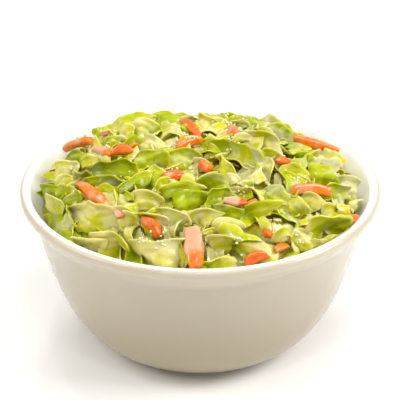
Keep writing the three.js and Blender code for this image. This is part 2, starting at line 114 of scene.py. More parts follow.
EDGE_ROUND = 0.45  # how far a leaf's rounded edge stands out, as a share of its thickness
CREASE_RADIUS = 0.35
CARROT_RAISE = 0.7
CARROT_RING_STEP = 0.45
CARROT_SIDES = 28
CARROT_ROLL = (-25, 45)
CARROT_TIPS = (0.3, 0.9)  # a stick's width at its two ends, as shares of its middle
CARROT_SQUARENESS = (3.0, 4.5)  # 2 would be round
CARROT_BEND = 0.9
CARROT_ARCH = (-0.3, 0.5)
CARROT_FLATNESS = (0.55, 0.8)
CARROT_WEDGE = 0.35
CARROT_SLANT = 0.9
CREASE_SLOPE = 0.62  # the steepest rise beside a crease
EDGE_SINK = 3.2  # how much lower the pieces lie at the wall
CORNER_RADIUS = (0.2, 1.1)
END_SKEW = 0.4  # how far the cuts at a piece's ends are from square
CUPPING = 0.32  # how much of its cup a piece keeps once it is pressed into the heap
GRID_STEP = 0.55  # how far apart a piece's vertices are
CELL = 0.5  # the heap's height map
GROUND_REACH = 60.0  # how far it reaches from the middle

# Each row is one piece of leaf: the plan of its two ends, x0 y0 x1 y1, then its width, roll, bow, cup, twist,
# swing, taper and slant, which mean what they do in the CAD, and last its tone, from 0 for the pale heart of
# the cabbage to 1 for the green outer leaf. The CAD has the larger pieces' rows, all but one the same.
LEAVES = [
    # along the back
    (-15, 40, -5, 41, 5, 30, 1, 0.5, 8, 0, 0.2, 0.2, 0.7),
    (-22, 22, -15.5, 20, 9, 46, 1, -1.5, 0, 0, 0.2, 0, 0.42),
    (-27, 21.5, -22, 18, 7, 40, 1.5, -1.8, 10, 0, 0.2, 0, 0.12),
    (-31.5, 22, -28, 15, 5, 40, 1, 1.2, 20, 0, 0.3, 0.3, 0.2),
    (-30, 15.5, -25, 13.5, 3.5, 35, 1, 0.6, 10, 0, 0.2, 0, 0.3),
    (-29, 10, -22, 9, 3, 25, 1, 0.5, 0, 0, 0, 0, 0.95),
    (-2, 25, 3, 22, 9.5, 50, 1, -1.5, 10, 0, -0.2, 0.2, 0.2),
    (2.5, 23, 8, 22, 7, 46, 1.5, -1.8, -6, 0, 0.2, 0, 0.06),
    (0, 30, 4, 28, 4, 30, 1, 0.5, 10, 0, 0.2, 0, 0.75),
    (3.5, 34, 7, 33, 3.5, 30, 0.5, 0.5, 0, 0, 0.2, 0, 0.65),
    (-3, 41, 2.5, 41.5, 3, 35, 1, 0.4, 5, 0, 0.2, 0, 0.8),
    (6.5, 31.5, 13, 30, 5, 32, 1, 1, -10, 0, 0.2, 0.2, 0.4),
    (9, 26, 19.5, 31, 8, 40, 1.5, 1, 10, 0, -0.4, 0.2, 0.76),
    (18, 32, 31, 27, 6.5, 42, 1.5, -1, 6, 0, 0, 0.2, 0.72),
    (27, 28, 36, 20, 5.5, 42, 1, 1, 0, 0, 0.2, 0.1, 0.72),
    (22, 36, 33, 29, 3, 20, 1, 0.5, 0, 0, 0.2, 0, 0.1),
    (23, 20, 33.5, 10, 7, 42, 1.5, -1.5, 0, 0, 0.2, 0.1, 0.8),
    (15, 18, 23, 16.5, 3, 25, 1, 0.4, 0, 0, 0, 0, 0.55),
    (34, 12.5, 40, 13, 4, 35, 0.5, 0.5, 0, 0, 0, 0, 0.5),
    # the left half
    (-20, 13, -18.5, 7, 3.5, 30, 1.5, 0.8, 30, 0, -0.4, 0, 0.25),
    (-19.5, 8, -13, 4, 7, 45, 1.5, -1.8, 20, 0, 0.2, 0.2, 0.12),
    (-22, 6, -24, -3, 5, 40, 1.5, 1.3, 25, 1, -0.3, 0, 0.3),
    (-48, 10, -44, 4.5, 5.5, 48, 1, 1, 10, 0, 0.2, 0, 0.74),
    (-45.5, 3, -39, 1, 6, 42, 1.2, -1.4, 10, 0, 0.2, 0, 0.1),
    (-38.5, 2, -30.5, 1, 3.5, 32, 1, 0.5, 0, 0, 0, 0, 0.22),
    (-36, -14.5, -30.5, -15.5, 7, 60, 1, 1.5, 0, 0, 0, 0, 0.84),
    (-20, -4.5, -10.5, -5.5, 8.5, 52, 1, -1.2, 10, 0, 0, 0.25, 0.68),
    (-31.5, -14, -22.5, -19, 7, 50, 1, 1, -4, 0, 0.5, 0.2, 0.86),
    (-45, -4.5, -40, -8, 6, 45, 1, -1.4, 0, 0, 0.2, 0, 0.22),
    (-50.5, -4, -45.5, -9, 8, 52, 1, 1, 0, 0, 0.1, 0.1, 0.78),
    (-41.5, -21, -38, -29, 6.5, 46, 1, 1, 0, 0, 0, 0, 0.85),
    (-48, -20, -36, -35, 6, 42, 1, -1, -16, -1, 0.2, 0, 0.96),
    (-31, -18.5, -20.5, -25, 5, 42, 1, -0.9, 8, 0, 0.2, 0.1, 0.52),
    (-30.5, -22.5, -23, -28, 4.5, 40, 1, -0.8, 0, 0, 0.2, 0, 0.4),
    (-39.5, -33, -36, -36, 3.5, 45, 0.5, 0.4, 4, 0, 0, 0, 0.35),
    (-29, -38.5, -21.5, -42, 10, 56, 1, -1, 8, 0, 0, 0.1, 0.3),
    (-17, -15.5, -11, -17, 9, 56, 1, -1.8, 4, 0, 0.4, 0.3, 0.6),
    # the middle
    (-12, 10, -7, 1.5, 6, 35, 2, -1.5, 15, 0, 0.2, 0.2, 0.08),
    (-14, 2.5, -8.5, 0, 4, 38, 1, 1, 10, 0, 0.2, 0, 0.35),
    (-10.5, -4.5, -2, -5.5, 8, 50, 1.5, -1.6, 12, 0, 0, 0.1, 0.38),
    (-1.5, -8, 2, -9, 5, 45, 1, -1, 0, 0, 0.2, 0, 0.15),
    (0, 10, 5, 6, 6, 42, 1, -1.4, 10, 0, 0.2, 0, 0.3),
    (1.5, 3, 5, -1, 6, 50, 1, 1, 10, 0, 0, 0.2, 0.4),
    (-6, -19, -1, -18.5, 5, 45, 1.5, -1.2, 0, 0, 0.2, 0, 0.1),
    (-10.5, -20, -7.5, -19.5, 4.5, 50, 0.5, -0.6, -10, 0, -0.3, 0, 0.1),
    (-10, -23, -0.5, -24, 6.5, 50, 1.5, 1, -4, 0, -0.4, 0, 0.74),
    (-8.5, -29, 2, -31, 9, 48, 1.5, -1.2, 8, 0, 0.1, 0.1, 0.88),
    (0.5, -22, 10, -21.5, 6, 40, 2, -1, -6, 0, 0.2, 0, 0.8),
    (5.5, -6, 9, -16, 6, 45, 1.5, 1.5, 10, 0, 0.1, 0.1, 0.28),
    (-2, -36.5, 3, -36, 7, 44, 1, -1, 0, 0, 0, 0, 0.45),
    (4, -38, 11, -39.5, 6, 48, 1, -1.4, 0, 0, 0, 0, 0.15),
    (-6, -43, -4, -49, 6, 50, 1, 1, 0, 0, 0, 0, 0.45),
    (-19, -45.5, -6, -48, 12, 50, 1.5, -1, 0, 0, 0, 0, 0.12),
    (-19, -48.5, -14, -48, 2.5, 30, 0.5, 0.4, 0, 0, 0.3, 0, 0.25),
    (1, -49, 11, -48, 4.5, 50, 0.8, -0.8, -6, 0, 0, 0, 0.3),
    (11, -44, 16, -42.5, 6, 46, 1, 1, 10, 0, 0.1, 0, 0.85),
    # the right half
    (9.5, -18.5, 15, -24, 4, 40, -1.2, 1.1, 6, 1, 0.2, 0, 0.35),
    (8, -16, 12, -17, 4, 40, 1, -0.8, 0, 0, 0.2, 0, 0.2),
    (12, -16.5, 16, -20, 3.5, 38, 1, 0.8, 0, 0, 0.2, 0, 0.55),
    (16.5, -9, 18.5, -18, 5, 42, 1.5, -1, 0, 0, 0, 0, 0.35),
    (20.5, -0.5, 25.5, -4, 6, 48, 1, 1, 0, 0, 0.2, 0, 0.4),
    (26, -8.5, 33.5, -10.5, 3.5, 34, 2, -0.7, 6, 0, 0.1, 0, 0.2),
    (26, -12, 32.5, -13.5, 3, 34, 1.5, -0.5, 6, 0, 0.2, 0, 0.35),
    (25.5, -15.5, 31, -16.5, 2.5, 34, 1, 0.4, 8, 0, 0.2, 0, 0.15),
    (39, 12, 45, 7, 7, 22, 1, -1.6, 10, 0, 0.2, 0, 0.35),
    (33.5, -8, 44, -6, 8.5, 46, 2, -1.4, 0, 0, 0, 0.1, 0.72),
    (44, -7, 51, -3, 11, 52, 1, 1.4, 0, 0, 0.1, 0, 0.52),
    (38.5, -14, 45.5, -11.5, 8.5, 50, 1, 1.2, -6, 0, 0, 0.1, 0.62),
    (46.5, -14, 51.5, -9, 4.5, 42, 1, 0.8, 0, 0, 0.2, 0, 0.5),
    (30.5, -22, 37, -22.5, 6.5, 48, 1, -1, -4, 0, 0, 0.2, 0.3),
    (27, -24, 31.5, -28, 6, 48, 1, -1, 0, 0, 0.1, 0, 0.25),
    (43, -19.5, 48.5, -16, 5, 44, 1, -1, 0, 0, 0.2, 0, 0.3),
    (27, -39, 33, -37.5, 9, 54, 0.8, -0.8, -10, 0, 0, 0, 0.2),
    (39, -34, 46, -26, 6, 46, 1, -1, 0, 0, 0, 0, 0.5),
    (33, -40, 40, -35.5, 4, 45, 1, -0.8, 0, 0, 0, 0, 0.45),
    (24, -45.5, 31, -42.5, 5, 45, 1, -0.8, 0, 0, 0, 0, 0.35),
    (17.5, -33, 20, -38.5, 3, 35, 1.5, 0.7, 20, 0, 0.2, 0, 0.5),
    (19.5, -47.5, 23.5, -46, 4, 44, 0.5, 0.5, 0, 0, 0, 0, 0.35),
    (36, -35.5, 43, -30, 5, 46, 1, -0.8, 0, 0, 0, 0, 0.4),
]
TOP_LEAVES = [
    (-29, 25, -15, 27, 10, 36, 1.5, -1.2, -6, 0, 0, 0.1, 0.6),
    (-17, 30.5, -6, 31.5, 7, 30, 1.5, 0.8, 8, 0, 0.2, 0.2, 0.72),
    (-10.5, 30, -5, 15, 6, 34, 1, -1, 20, 0, 0.3, 0.2, 0.8),
    (-36, 24, -28, 29, 7, 44, 1, -1, 10, 0, 0.2, 0.2, 0.35),
    (-17, 19, -5.5, 10, 12, 48, 1.5, -1.5, 0, 0, 0.7, 0, 0.2),
    (-46.5, 5, -35, 4, 3.5, 35, 3.5, -0.8, -6, 0, 0, 0, 0.88),
    (-41, -11, -33, -12.5, 11, 60, -0.5, -1.8, 8, 0, -0.1, 0.1, 0.94),
    (-34.5, -11, -19, -13.5, 10, 56, 1, 1.2, -6, 0, 0, 0.15, 0.88),
    (-24.5, -21.5, -16, -16.5, 6, 48, 1.2, -1.2, 4, 0, -0.7, 0.2, 0.84),
    (-13.5, -22.5, -9, -20, 6, 50, 0.8, 1, 0, 0, -0.5, 0.2, 0.5),
    (-45, -10, -35.5, -19, 5, 42, 1.5, -1, -2, 0, 0.3, 0, 0.55),
    (-47.5, -15, -42, -19.5, 9, 60, 0.8, -1.2, 10, 0, 0.15, 0.1, 0.14),
    (-42.5, -18, -35, -20, 6.5, 50, 0.6, 0.5, -4, 0, -0.8, 0, 0.68),
    (-42.5, -24.5, -21.5, -36, 10.5, 46, 1.5, -1.8, 0, 1, -0.25, 0, 0.04),
    (-24, -33, -18, -35.5, 6, 50, 1, -1.6, 10, 0, 0.3, 0, 0.12),
    (-36, -36, -28, -41, 8, 54, 0.8, -1, -10, 0, 0, 0.25, 0.1),
    (-19.5, -27, -12.5, -29.5, 7, 46, 1.2, -1.8, -10, 0, 0.3, 0, 0),
    (-17.5, -36.5, -11, -38.5, 9, 54, 0.8, -2, 0, 0, 0.1, 0, 0.3),
    (-11, -35.5, -4, -38.5, 8.5, 52, 1.2, 1.5, 6, 0, 0.1, 0.1, 0.5),
    (-6.5, -34.5, -3, -38, 4, 40, 1, -1, 8, 0, 0.3, 0, 0.05),
    (-6.5, -35, -8, -42, 4.5, 45, 1, 1, 20, 0, 0, 0, 0.45),
    (-18.5, -31, -20.5, -46.5, 3, 35, 1.5, -0.6, 20, -2, -0.2, 0, 0.12),
    (-8, -42, -5.5, -49, 1.8, 60, 1, 0.3, -20, 1.2, 0.1, 0, 0.5),
    (12, 6, 19, 4, 12, 60, 0.8, -1.2, 6, 0, -0.3, 0.35, 0.12),
    (19, 6, 26, 3, 12, 60, 0.8, 1.2, -8, 0, 0.3, -0.3, 0.1),
    (4, 2.5, 18.5, -8.5, 6.5, 44, 1.5, 1.5, -10, 1, 0.1, 0.1, 0.64),
    (7, 5, 15.5, -2, 3.5, 28, 1.5, -0.8, 0, 0, 0.3, 0, 0.06),
    (31, 2, 44.5, 0, 9, 44, -2, 1.5, 0, 0, 0, 0.1, 0.82),
    (34, 6, 42.5, 5, 3, 28, -1.5, 0.6, 0, 0, 0, 0, 0.05),
    (29, -9, 31.5, 3, 8, -22, 1, 2.6, -15, 0, -0.5, 0, 0.88),
    (41, -4, 49, -2, 2.5, 25, 1, 0.4, 0, 0, 0.2, 0, 0.05),
    (19, -5, 21.5, -15, 6, 40, 1.5, -1.6, 20, 0, 0, 0, 0.06),
    (23.5, -9, 27.5, -23, 3.6, -22, 1.4, 1.4, 20, 1.8, 0, 0, 0.66),
    (20, -20, 28, -26, 7, 46, -1.2, 1.5, 4, 0, 0, 0, 0.4),
    (-0.5, -19, 3.5, -17.5, 6, 60, 0.3, -0.5, 10, 0, -0.7, 0.2, 0),
    (2, -28.5, 9, -27, 7, 56, 0.5, 0.5, 4, 0, 0, 0.15, 0.85),
    (3, -33, 13, -35, 5.5, 46, 0.5, 0.8, 4, 0, 0, 0, 0.7),
    (12, -35, 20, -31, 6, 46, 1, -1, 0, 0, 0, 0.3, 0.62),
    (5, -39, 22.5, -45.5, 6.5, 44, 2, -1.6, -4, -1.5, 0.1, 0, 0.3),
    (3.5, -45, 9.5, -44.5, 9, 54, 0.8, -2.2, 8, 0, 0, 0, 0.08),
    (-0.5, -41.5, 4, -40, 2, 40, 0.5, 0.2, 4, 0, -0.8, 0, 0.2),
    (31, -33.5, 43, -27, 12.5, 54, 1.5, -1.6, 8, 0, 0, 0.1, 0.38),
    (32, -37, 39, -34.5, 4.5, 50, 0.5, 0.5, 4, 0, 0.4, 0.2, 0.03),
    (20.5, -41, 27, -38.5, 3, 12, 6, 0.3, 0, 0, 0, 0, 0.35),
]
RIBS = [
    (-24, -30.5, -18.5, -29.5, 3.5, 30, 0.5, -0.5, 0, 0, 0.2, 0, 0.05),
    (3.5, 6.5, 11.5, 13, 3, 20, 0.5, -0.5, 0, 0, 0.1, 0, 0.15),
    (-34.5, 8, -29, 1, 4, 25, 0.5, -0.6, 0, 0, 0.2, 0, 0),
    (36, 3.5, 43, 15.5, 2.5, 30, -0.5, 0.4, 0, 0, 0.2, 0, 0),
]
# Carrot sticks: the plan of the two ends, the width, how far it is raised, and how much dressing coats it,
# from 0 to 1. The CAD has the larger sticks, two of them raised less.
CARROTS = [
    (-45, 16, -35.5, 11, 3, 2.5, 0.35),
    (-34, 24.5, -29.5, 23, 2, 0.5, 0.8),
    (-34.5, 7, -28.5, 0.5, 3.2, 0.8, 1),
    (-28.5, 1, -21.5, 2, 3.2, 1, 0),
    (-23, 5, -20, 7, 1.6, 0.5, 0.1),
    (-5.5, 25.5, 0, 12, 3, 0.7, 0.1),
    (-7.5, 2.5, -0.5, 8.5, 4, 1.4, 0.1),
    (0.5, -6.5, 3.5, -11.5, 3.5, 0.5, 0),
    (-11, -17, -5, -14.5, 4, 0.4, 0.4),
    (10, 20, 13, 10.5, 4, 0.2, 0.45),
    (30.5, 12.5, 46.5, 17.5, 3.8, 2.2, 0.2),
    (28, -21.5, 40.5, -17, 3.5, 0.8, 0.2),
    (-37.5, -13.5, -26, -30, 3.8, 0.5, 0.35),
    (-25, -31.5, -22.5, -34, 2, 1, 0.6),
    (-17, -36.5, -12, -43, 3.5, 0.5, 0.35),
    (-2, -40.5, -1, -52, 5.4, 0.3, 0.8),
    (7, -30, 14, -30.5, 3.2, 1, 0.95),
    (14, -30, 17, -28, 2, 0, 0.1),
    (24, -5, 28, -4, 3.2, 0.5, 0.1),
    (13, -50, 19.5, -46.5, 3, 0.5, 0),
    (22, -45, 26, -42.5, 2.2, 0.5, 0.4),
    (43.5, -26.5, 49.5, -19, 3.2, 0, 0.1),
    (18.5, -39, 21.5, -40.5, 2.5, -0.5, 0.1),
]
SPREAD_COUNT = 190  # smaller leaves, spread under the ones above by the golden angle
SPREAD_RADIUS = 50
SPREAD_HALF_LENGTH = (4, 8.5)
SPREAD_WIDTH = (3.5, 9)
SPREAD_ROLL = 60  # the most in the middle of the heap
SPREAD_ROLL_LOSS = 35  # and how much less it is at the wall
SPREAD_BOW = (-0.5, 2.5)
SPREAD_CUP = (-1, 1.5)
SPREAD_TWIST = (-35, 35)
SPREAD_SWING = (-2, 2)
SPREAD_TAPER = (-0.7, 0.7)
SPREAD_TONE = (0.05, 0.95)
SPREAD_SINK = 1.4
FRONT_SINK = 1.6  # how much lower again they lie on the serving side
FRONT_START = 15
FRONT_REACH = 30
DRESSING_SMOOTH = 1.6  # how far the dressing's meniscus reaches
DRESSING_DEPTH = 1.3
DRESSING_SWELL = 0.45
DRESSING_THICKNESS = 1.0
PIECE_SMOOTH = 0.35
WET_MARGIN = 0.35
EDGE_DRAIN = 1.5  # how much lower the dressing stands at the wall
DRAIN_START = 44
DRAIN_REACH = 7
# Pools of dressing: the plan of the middle and the radius. Bubbles gather at the places in BUBBLES, and
# drops elsewhere by chance.
POOLS = [(-13, -44, 7), (-27, -26, 6), (8, -46, 5), (29, -37, 6), (-22, -7, 4), (-38, -3, 4), (24, -13, 4)]
POOL_DEPTH = 1.4
BUBBLES = [
    (-16.5, -43.5), (-11, -45.5), (6.5, -42.5), (10.5, -46),
    (29, -38.5), (-22, -5), (31, -16), (13, -21),
]
BUBBLE_COUNT = 18
DROP_CLUSTERS = 70
DROPS_TOGETHER = (1, 9)
DROP_REACH = 46
DROP_SCATTER = 1.1
DROP_SIZE = (0.18, 0.55)
DROP_FORM = (1, 1, 0.8)
DROP_RISE = 0.25
DROP_RINGS = 6
DROP_SIDES = 12
DROP_POLE = 0.12


# ---- the bowl's form, as points of radius and height ----


def bezier(a, b, c, d, steps):
    """The points of a cubic Bezier curve, the first one included."""
    t = np.linspace(0, 1, steps + 1)[:, None]
    a, b, c, d = (np.asarray(p, float) for p in (a, b, c, d))
    return a * (1 - t) ** 3 + 3 * b * t * (1 - t) ** 2 + 3 * c * t**2 * (1 - t) + d * t**3


def outer_wall(wall_steps, flare_steps):
    """The outer side, from the foot up to the underside of the lip."""
    lip_end = np.array(
        [
            RIM_RADIUS - LIP_RADIUS + LIP_RADIUS * math.cos(LIP_UNDER),
            BOWL_HEIGHT - LIP_RADIUS + LIP_RADIUS * math.sin(LIP_UNDER),
        ]
    )
    flare_start = np.array([FLARE_RADIUS, BOWL_HEIGHT - FLARE_DROP])
    wall = bezier((FOOT_RADIUS, 0), (BASE_BULGE, 0), WALL_BULGE, flare_start, wall_steps)
    up_the_wall = flare_start - WALL_BULGE
    up_the_wall *= FLARE_EASE / np.linalg.norm(up_the_wall)
    round_the_lip = FLARE_EASE * np.array([-math.sin(LIP_UNDER), math.cos(LIP_UNDER)])
    flare = bezier(flare_start, flare_start + up_the_wall, lip_end - round_the_lip, lip_end, flare_steps)
    return np.vstack([wall, flare[1:]])


def inner_wall(wall_steps):
    """The inner side, from the edge of the floor up to the inside of the lip."""
    outside = outer_wall(wall_steps, flare_steps=2)
    along = outside[2 : wall_steps + 2] - outside[:wall_steps]
    along /= np.linalg.norm(along, axis=1)[:, None]
    inside = outside[1 : wall_steps + 1] + WALL * np.column_stack([-along[:, 1], along[:, 0]])
    return np.vstack([inside, [RIM_RADIUS - 2 * LIP_RADIUS, BOWL_HEIGHT - LIP_RADIUS]])


INNER_WALL = inner_wall(24)


def inner_radius(z):
    return np.interp(z, INNER_WALL[:, 1], INNER_WALL[:, 0])


def heap_height(x, y):
    share = np.minimum(1, np.hypot(x, y) / HEAP_RADIUS)
    return HEAP_EDGE + (HEAP_CROWN - HEAP_EDGE) * (1 - share**4)


def heap_normal(x, y):
    step = 0.5
    slope_x = (heap_height(x + step, y) - heap_height(x - step, y)) / (2 * step)
    slope_y = (heap_height(x, y + step) - heap_height(x, y - step)) / (2 * step)
    normal = np.array([-slope_x, -slope_y, 1.0])
    return normal / np.linalg.norm(normal)


def keep_inside(points, room):
    """Moves points in from the bowl's wall, so that what lies against the porcelain bends along it."""
    radius = np.hypot(points[..., 0], points[..., 1])
    most = inner_radius(points[..., 2]) - room
    share = np.where(radius > most, most / np.maximum(radius, 1e-6), 1.0)
    points[..., 0] *= share
    points[..., 1] *= share
    return points


# ---- random draws ----


class Random:
    """A simple seeded generator of uniform numbers."""

    def __init__(self, seed):
        self.state = seed

    def __call__(self, low, high):
        self.state = (self.state * 1664525 + 1013904223) & 0xFFFFFFFF
        return low + (high - low) * self.state / 2**32


def waves(rng, count, longest):
    """A smooth random function of two coordinates in millimetres, about -1 to 1: a sum of plane waves."""
    angles = rng.uniform(0, 2 * math.pi, count)
    lengths = longest * rng.uniform(0.45, 1.0, count)
    phases = rng.uniform(0, 2 * math.pi, count)

    def value(s, t):
        total = 0
        for angle, length, phase in zip(angles, lengths, phases):
            along = s * math.cos(angle) + t * math.sin(angle)
            total = total + np.sin(2 * math.pi * along / length + phase)
        return total / math.sqrt(count)

    return value


# ---- the heap's height map: each piece rests on what lies under it ----


class Ground:
    def __init__(self):
        self.low = -GROUND_REACH
        self.count = int(2 * GROUND_REACH / CELL) + 1
        axis = self.low + CELL * np.arange(self.count)
        x, y = np.meshgrid(axis, axis, indexing="ij")
        self.z = core_height(x, y)

    def height(self, x, y):
        i = np.clip((x - self.low) / CELL, 0, self.count - 1.001)
        j = np.clip((y - self.low) / CELL, 0, self.count - 1.001)
        i0, j0 = i.astype(int), j.astype(int)
        fi, fj = i - i0, j - j0
        low = self.z[i0, j0] * (1 - fj) + self.z[i0, j0 + 1] * fj
        high = self.z[i0 + 1, j0] * (1 - fj) + self.z[i0 + 1, j0 + 1] * fj
        return low * (1 - fi) + high * fi

    def cover(self, points):
        """Raises the map to the top of a piece."""
        i = np.rint((points[..., 0] - self.low) / CELL).astype(int).ravel()
        j = np.rint((points[..., 1] - self.low) / CELL).astype(int).ravel()
        z = points[..., 2].ravel()
        for di in (0, 1):
            for dj in (0, 1):
                cell = np.clip(i + di, 0, self.count - 1), np.clip(j + dj, 0, self.count - 1)
                np.maximum.at(self.z, cell, z)


def core_height(x, y):
    """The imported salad's uneven top. Its bumps and its grain are waves, in radians per millimetre."""
    bumps = np.sin(0.42 * x + 1.3) * np.cos(0.37 * y) + np.sin(0.23 * (x - y))
    fine = np.sin(1.3 * x + 0.8 * y) * np.sin(1.1 * y - 0.5 * x + 2) + np.sin(2.1 * x - 1.7 * y + 1)
    deeper = CORE_EDGE_DEPTH * smooth_step((np.hypot(x, y) - CORE_EDGE_START) / CORE_EDGE_REACH)
    return heap_height(x, y) - CORE_DEPTH - deeper + CORE_BUMPS * bumps + CORE_GRAIN * fine


def blurred(field, radius):
    """A field on the height map's grid, smoothed by a bell curve of the given radius in millimetres."""
    reach = math.ceil(3 * radius / CELL)
    bell = np.exp(-0.5 * (np.arange(-reach, reach + 1) * CELL / radius) ** 2)
    bell /= bell.sum()
    for axis in (0, 1):
        field = np.apply_along_axis(np.convolve, axis, field, bell, "same")
    return field


# ---- pieces ----


def add_object(name, data):
    thing = bpy.data.objects.new(name, data)
    bpy.context.scene.collection.objects.link(thing)
    return thing


def make_piece(name, vertices, faces, material):
    """A smooth mesh object that rides on the part's one body."""
    mesh = bpy.data.meshes.new(name)
    mesh.from_pydata((vertices * MM).tolist(), [], faces)
    mesh.shade_smooth()
    mesh.materials.append(material)
    piece = add_object(name, mesh)
    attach(piece, "root")
    return piece


class Kind:
    """All the pieces of one kind, which become one mesh with smooth faces and named point attributes."""

    def __init__(self, name):
        self.name = name
        self.vertices = []
        self.faces = []
        self.triangles = []
        self.values = {}
        self.count = 0

    def add(self, vertices, faces, triangles=(), **values):
        self.vertices.append(vertices)
        self.faces.append(faces + self.count)
        if len(triangles):
            self.triangles.append(np.asarray(triangles) + self.count)
        for key, value in values.items():
            full = np.broadcast_to(np.asarray(value, float), (len(vertices),))
            self.values.setdefault(key, []).append(full)
        self.count += len(vertices)

    def build(self, material):
        faces = np.vstack(self.faces).tolist()
        for triangles in self.triangles:
            faces += triangles.tolist()
        piece = make_piece(self.name, np.vstack(self.vertices), faces, material)
        for key, parts in self.values.items():
            attribute = piece.data.attributes.new(key, "FLOAT", "POINT")
            attribute.data.foreach_set("value", np.concatenate(parts))
        return piece


def tube_faces(rings, sides):
    """The quads between rings of vertices, and the fans to one more vertex at each end."""
    index = np.arange(rings * sides).reshape(rings, sides)
    right = np.roll(index, -1, axis=1)
    quads = np.stack([index[:-1], right[:-1], right[1:], index[1:]], axis=-1).reshape(-1, 4)
    fans = [(index.size, b, a) for a, b in zip(index[0], right[0])]
    fans += [(index.size + 1, a, b) for a, b in zip(index[-1], right[-1])]
    return quads, np.array(fans)


def unit(vectors):
    return vectors / np.maximum(np.linalg.norm(vectors, axis=-1, keepdims=True), 1e-9)


def on_heap(x, y):
    return np.array([x, y, heap_height(x, y)])


def smooth_step(x):
    x = np.clip(x, 0, 1)
    return x * x * (3 - 2 * x)


def rolled(distance, slope):
    """Distances across a sheet that climbs at a slope angle: how far across they come, and how far up."""
    steps = np.diff(distance, axis=1)
    angle = (slope[:, 1:] + slope[:, :-1]) / 2
    middle = distance.shape[1] // 2
    results = []
    for part in (steps * np.cos(angle), steps * np.sin(angle)):
        total = np.concatenate([np.zeros((len(part), 1)), np.cumsum(part, axis=1)], axis=1)
        results.append(total - total[:, middle : middle + 1])
    return results[0] + distance[:, middle : middle + 1], results[1]


def sheet_grid(row, rng, wave, curl):
    """The middle surface of one piece of leaf: its points, then its coordinates in mm and from -1 to 1."""
    x0, y0, x1, y1, width, roll, bow, cup, twist, swing, taper, slant = row[:-1]
    start, end = on_heap(x0, y0), on_heap(x1, y1)
    middle = (start + end) / 2
    length = float(np.linalg.norm(end - start))
    along = unit(end - start)
    normal = heap_normal(middle[0], middle[1])
    side = unit(np.cross(normal, along))
    skews = (END_SKEW * math.sin(2 * x0 + y0), END_SKEW * math.sin(2 * x1 + y1))

    steps_u = max(8, round(length / GRID_STEP))
    steps_v = max(6, round(width / GRID_STEP))
    u, v = np.meshgrid(np.linspace(-1, 1, steps_u + 1), np.linspace(-1, 1, steps_v + 1), indexing="ij")
    # The knife's cuts are not quite straight.
    edge_wave = waves(rng, 3, 9)
    share = 1 - abs(taper) * ((1 + math.copysign(1, taper) * u) / 2) ** TAPER_POWER
    share = share * (1 + 0.1 * edge_wave(u * length / 2, np.sign(v) * 30))
    corner = min(rng.uniform(*CORNER_RADIUS), 0.45 * width)
    into_corner = np.clip(1 - (1 - np.abs(u)) * length / 2 / corner, 0, 1)
    share = share * (1 - (1 - np.sqrt(1 - into_corner**2)) * corner / (width / 2))
    skew = (slant + np.where(u < 0, *skews) * u**2) * v * share * width / 2
    place = u + (skew + 0.5 * edge_wave(v * width / 2, np.sign(u) * 50) * np.abs(u) ** 3) / (length / 2)
    s, t = place * length / 2, v * share * width / 2

    # The line along its middle arches up and swings to one side, and the sheet turns with it.
    arch = (1 - np.clip(place, -1.2, 1.2) ** 2)[..., None]
    line = middle + s[..., None] * along + arch * (bow * normal + swing * side)
    ahead = unit(along - (4 * place / length)[..., None] * (bow * normal + swing * side))
    flat_across = unit(side - np.sum(side * ahead, axis=-1, keepdims=True) * ahead)
    flat_face = np.cross(ahead, flat_across)
    turn = np.radians(roll + twist * u)[..., None]
    across = np.cos(turn) * flat_across + np.sin(turn) * flat_face
    face = np.cos(turn) * flat_face - np.sin(turn) * flat_across

    # Across its width it is cupped, and its long edges turn over more sharply.
    curl_high, curl_low = curl * rng.uniform(*CURL_HIGH), curl * rng.uniform(*CURL_LOW)
    slope = 8 * CUPPING * cup * t / width**2
    slope = slope + curl_high * smooth_step((v - 0.3) / 0.7) - curl_low * smooth_step((-v - 0.3) / 0.7)
    t_rolled, rise = rolled(t, slope)
    ruffle = waves(rng, 4, 11)
    crinkle = waves(rng, 5, 4.0)
    lift = rise + wave * (RUFFLE * ruffle(s, t) * (0.4 + 0.9 * v * v) + CRINKLE * crinkle(s, t))
    for _ in range(CREASES):
        heading, steepness = rng.uniform(0, math.pi), wave * rng.uniform(-CREASE_SLOPE, CREASE_SLOPE)
        crease_s, crease_t = rng.uniform(-0.3, 0.3) * length, rng.uniform(-0.3, 0.3) * width
        beside = (s - crease_s) * math.cos(heading) + (t - crease_t) * math.sin(heading)
        lift = lift + steepness * (np.sqrt(beside**2 + CREASE_RADIUS**2) - 0.2 * width)
    points = line + t_rolled[..., None] * across + lift[..., None] * face
    return points, s, t, u, v


def grid_normals(points):
    down = np.gradient(points, axis=0)
    right = np.gradient(points, axis=1)
    normals = np.cross(down, right)
    return normals / np.maximum(np.linalg.norm(normals, axis=-1, keepdims=True), 1e-9)


def border_ring(rows, columns):
    """The grid's border vertices in order round it."""
    index = np.arange(rows * columns).reshape(rows, columns)
    return np.concatenate([index[:-1, 0], index[-1, :-1], index[:0:-1, -1], index[0, :0:-1]])


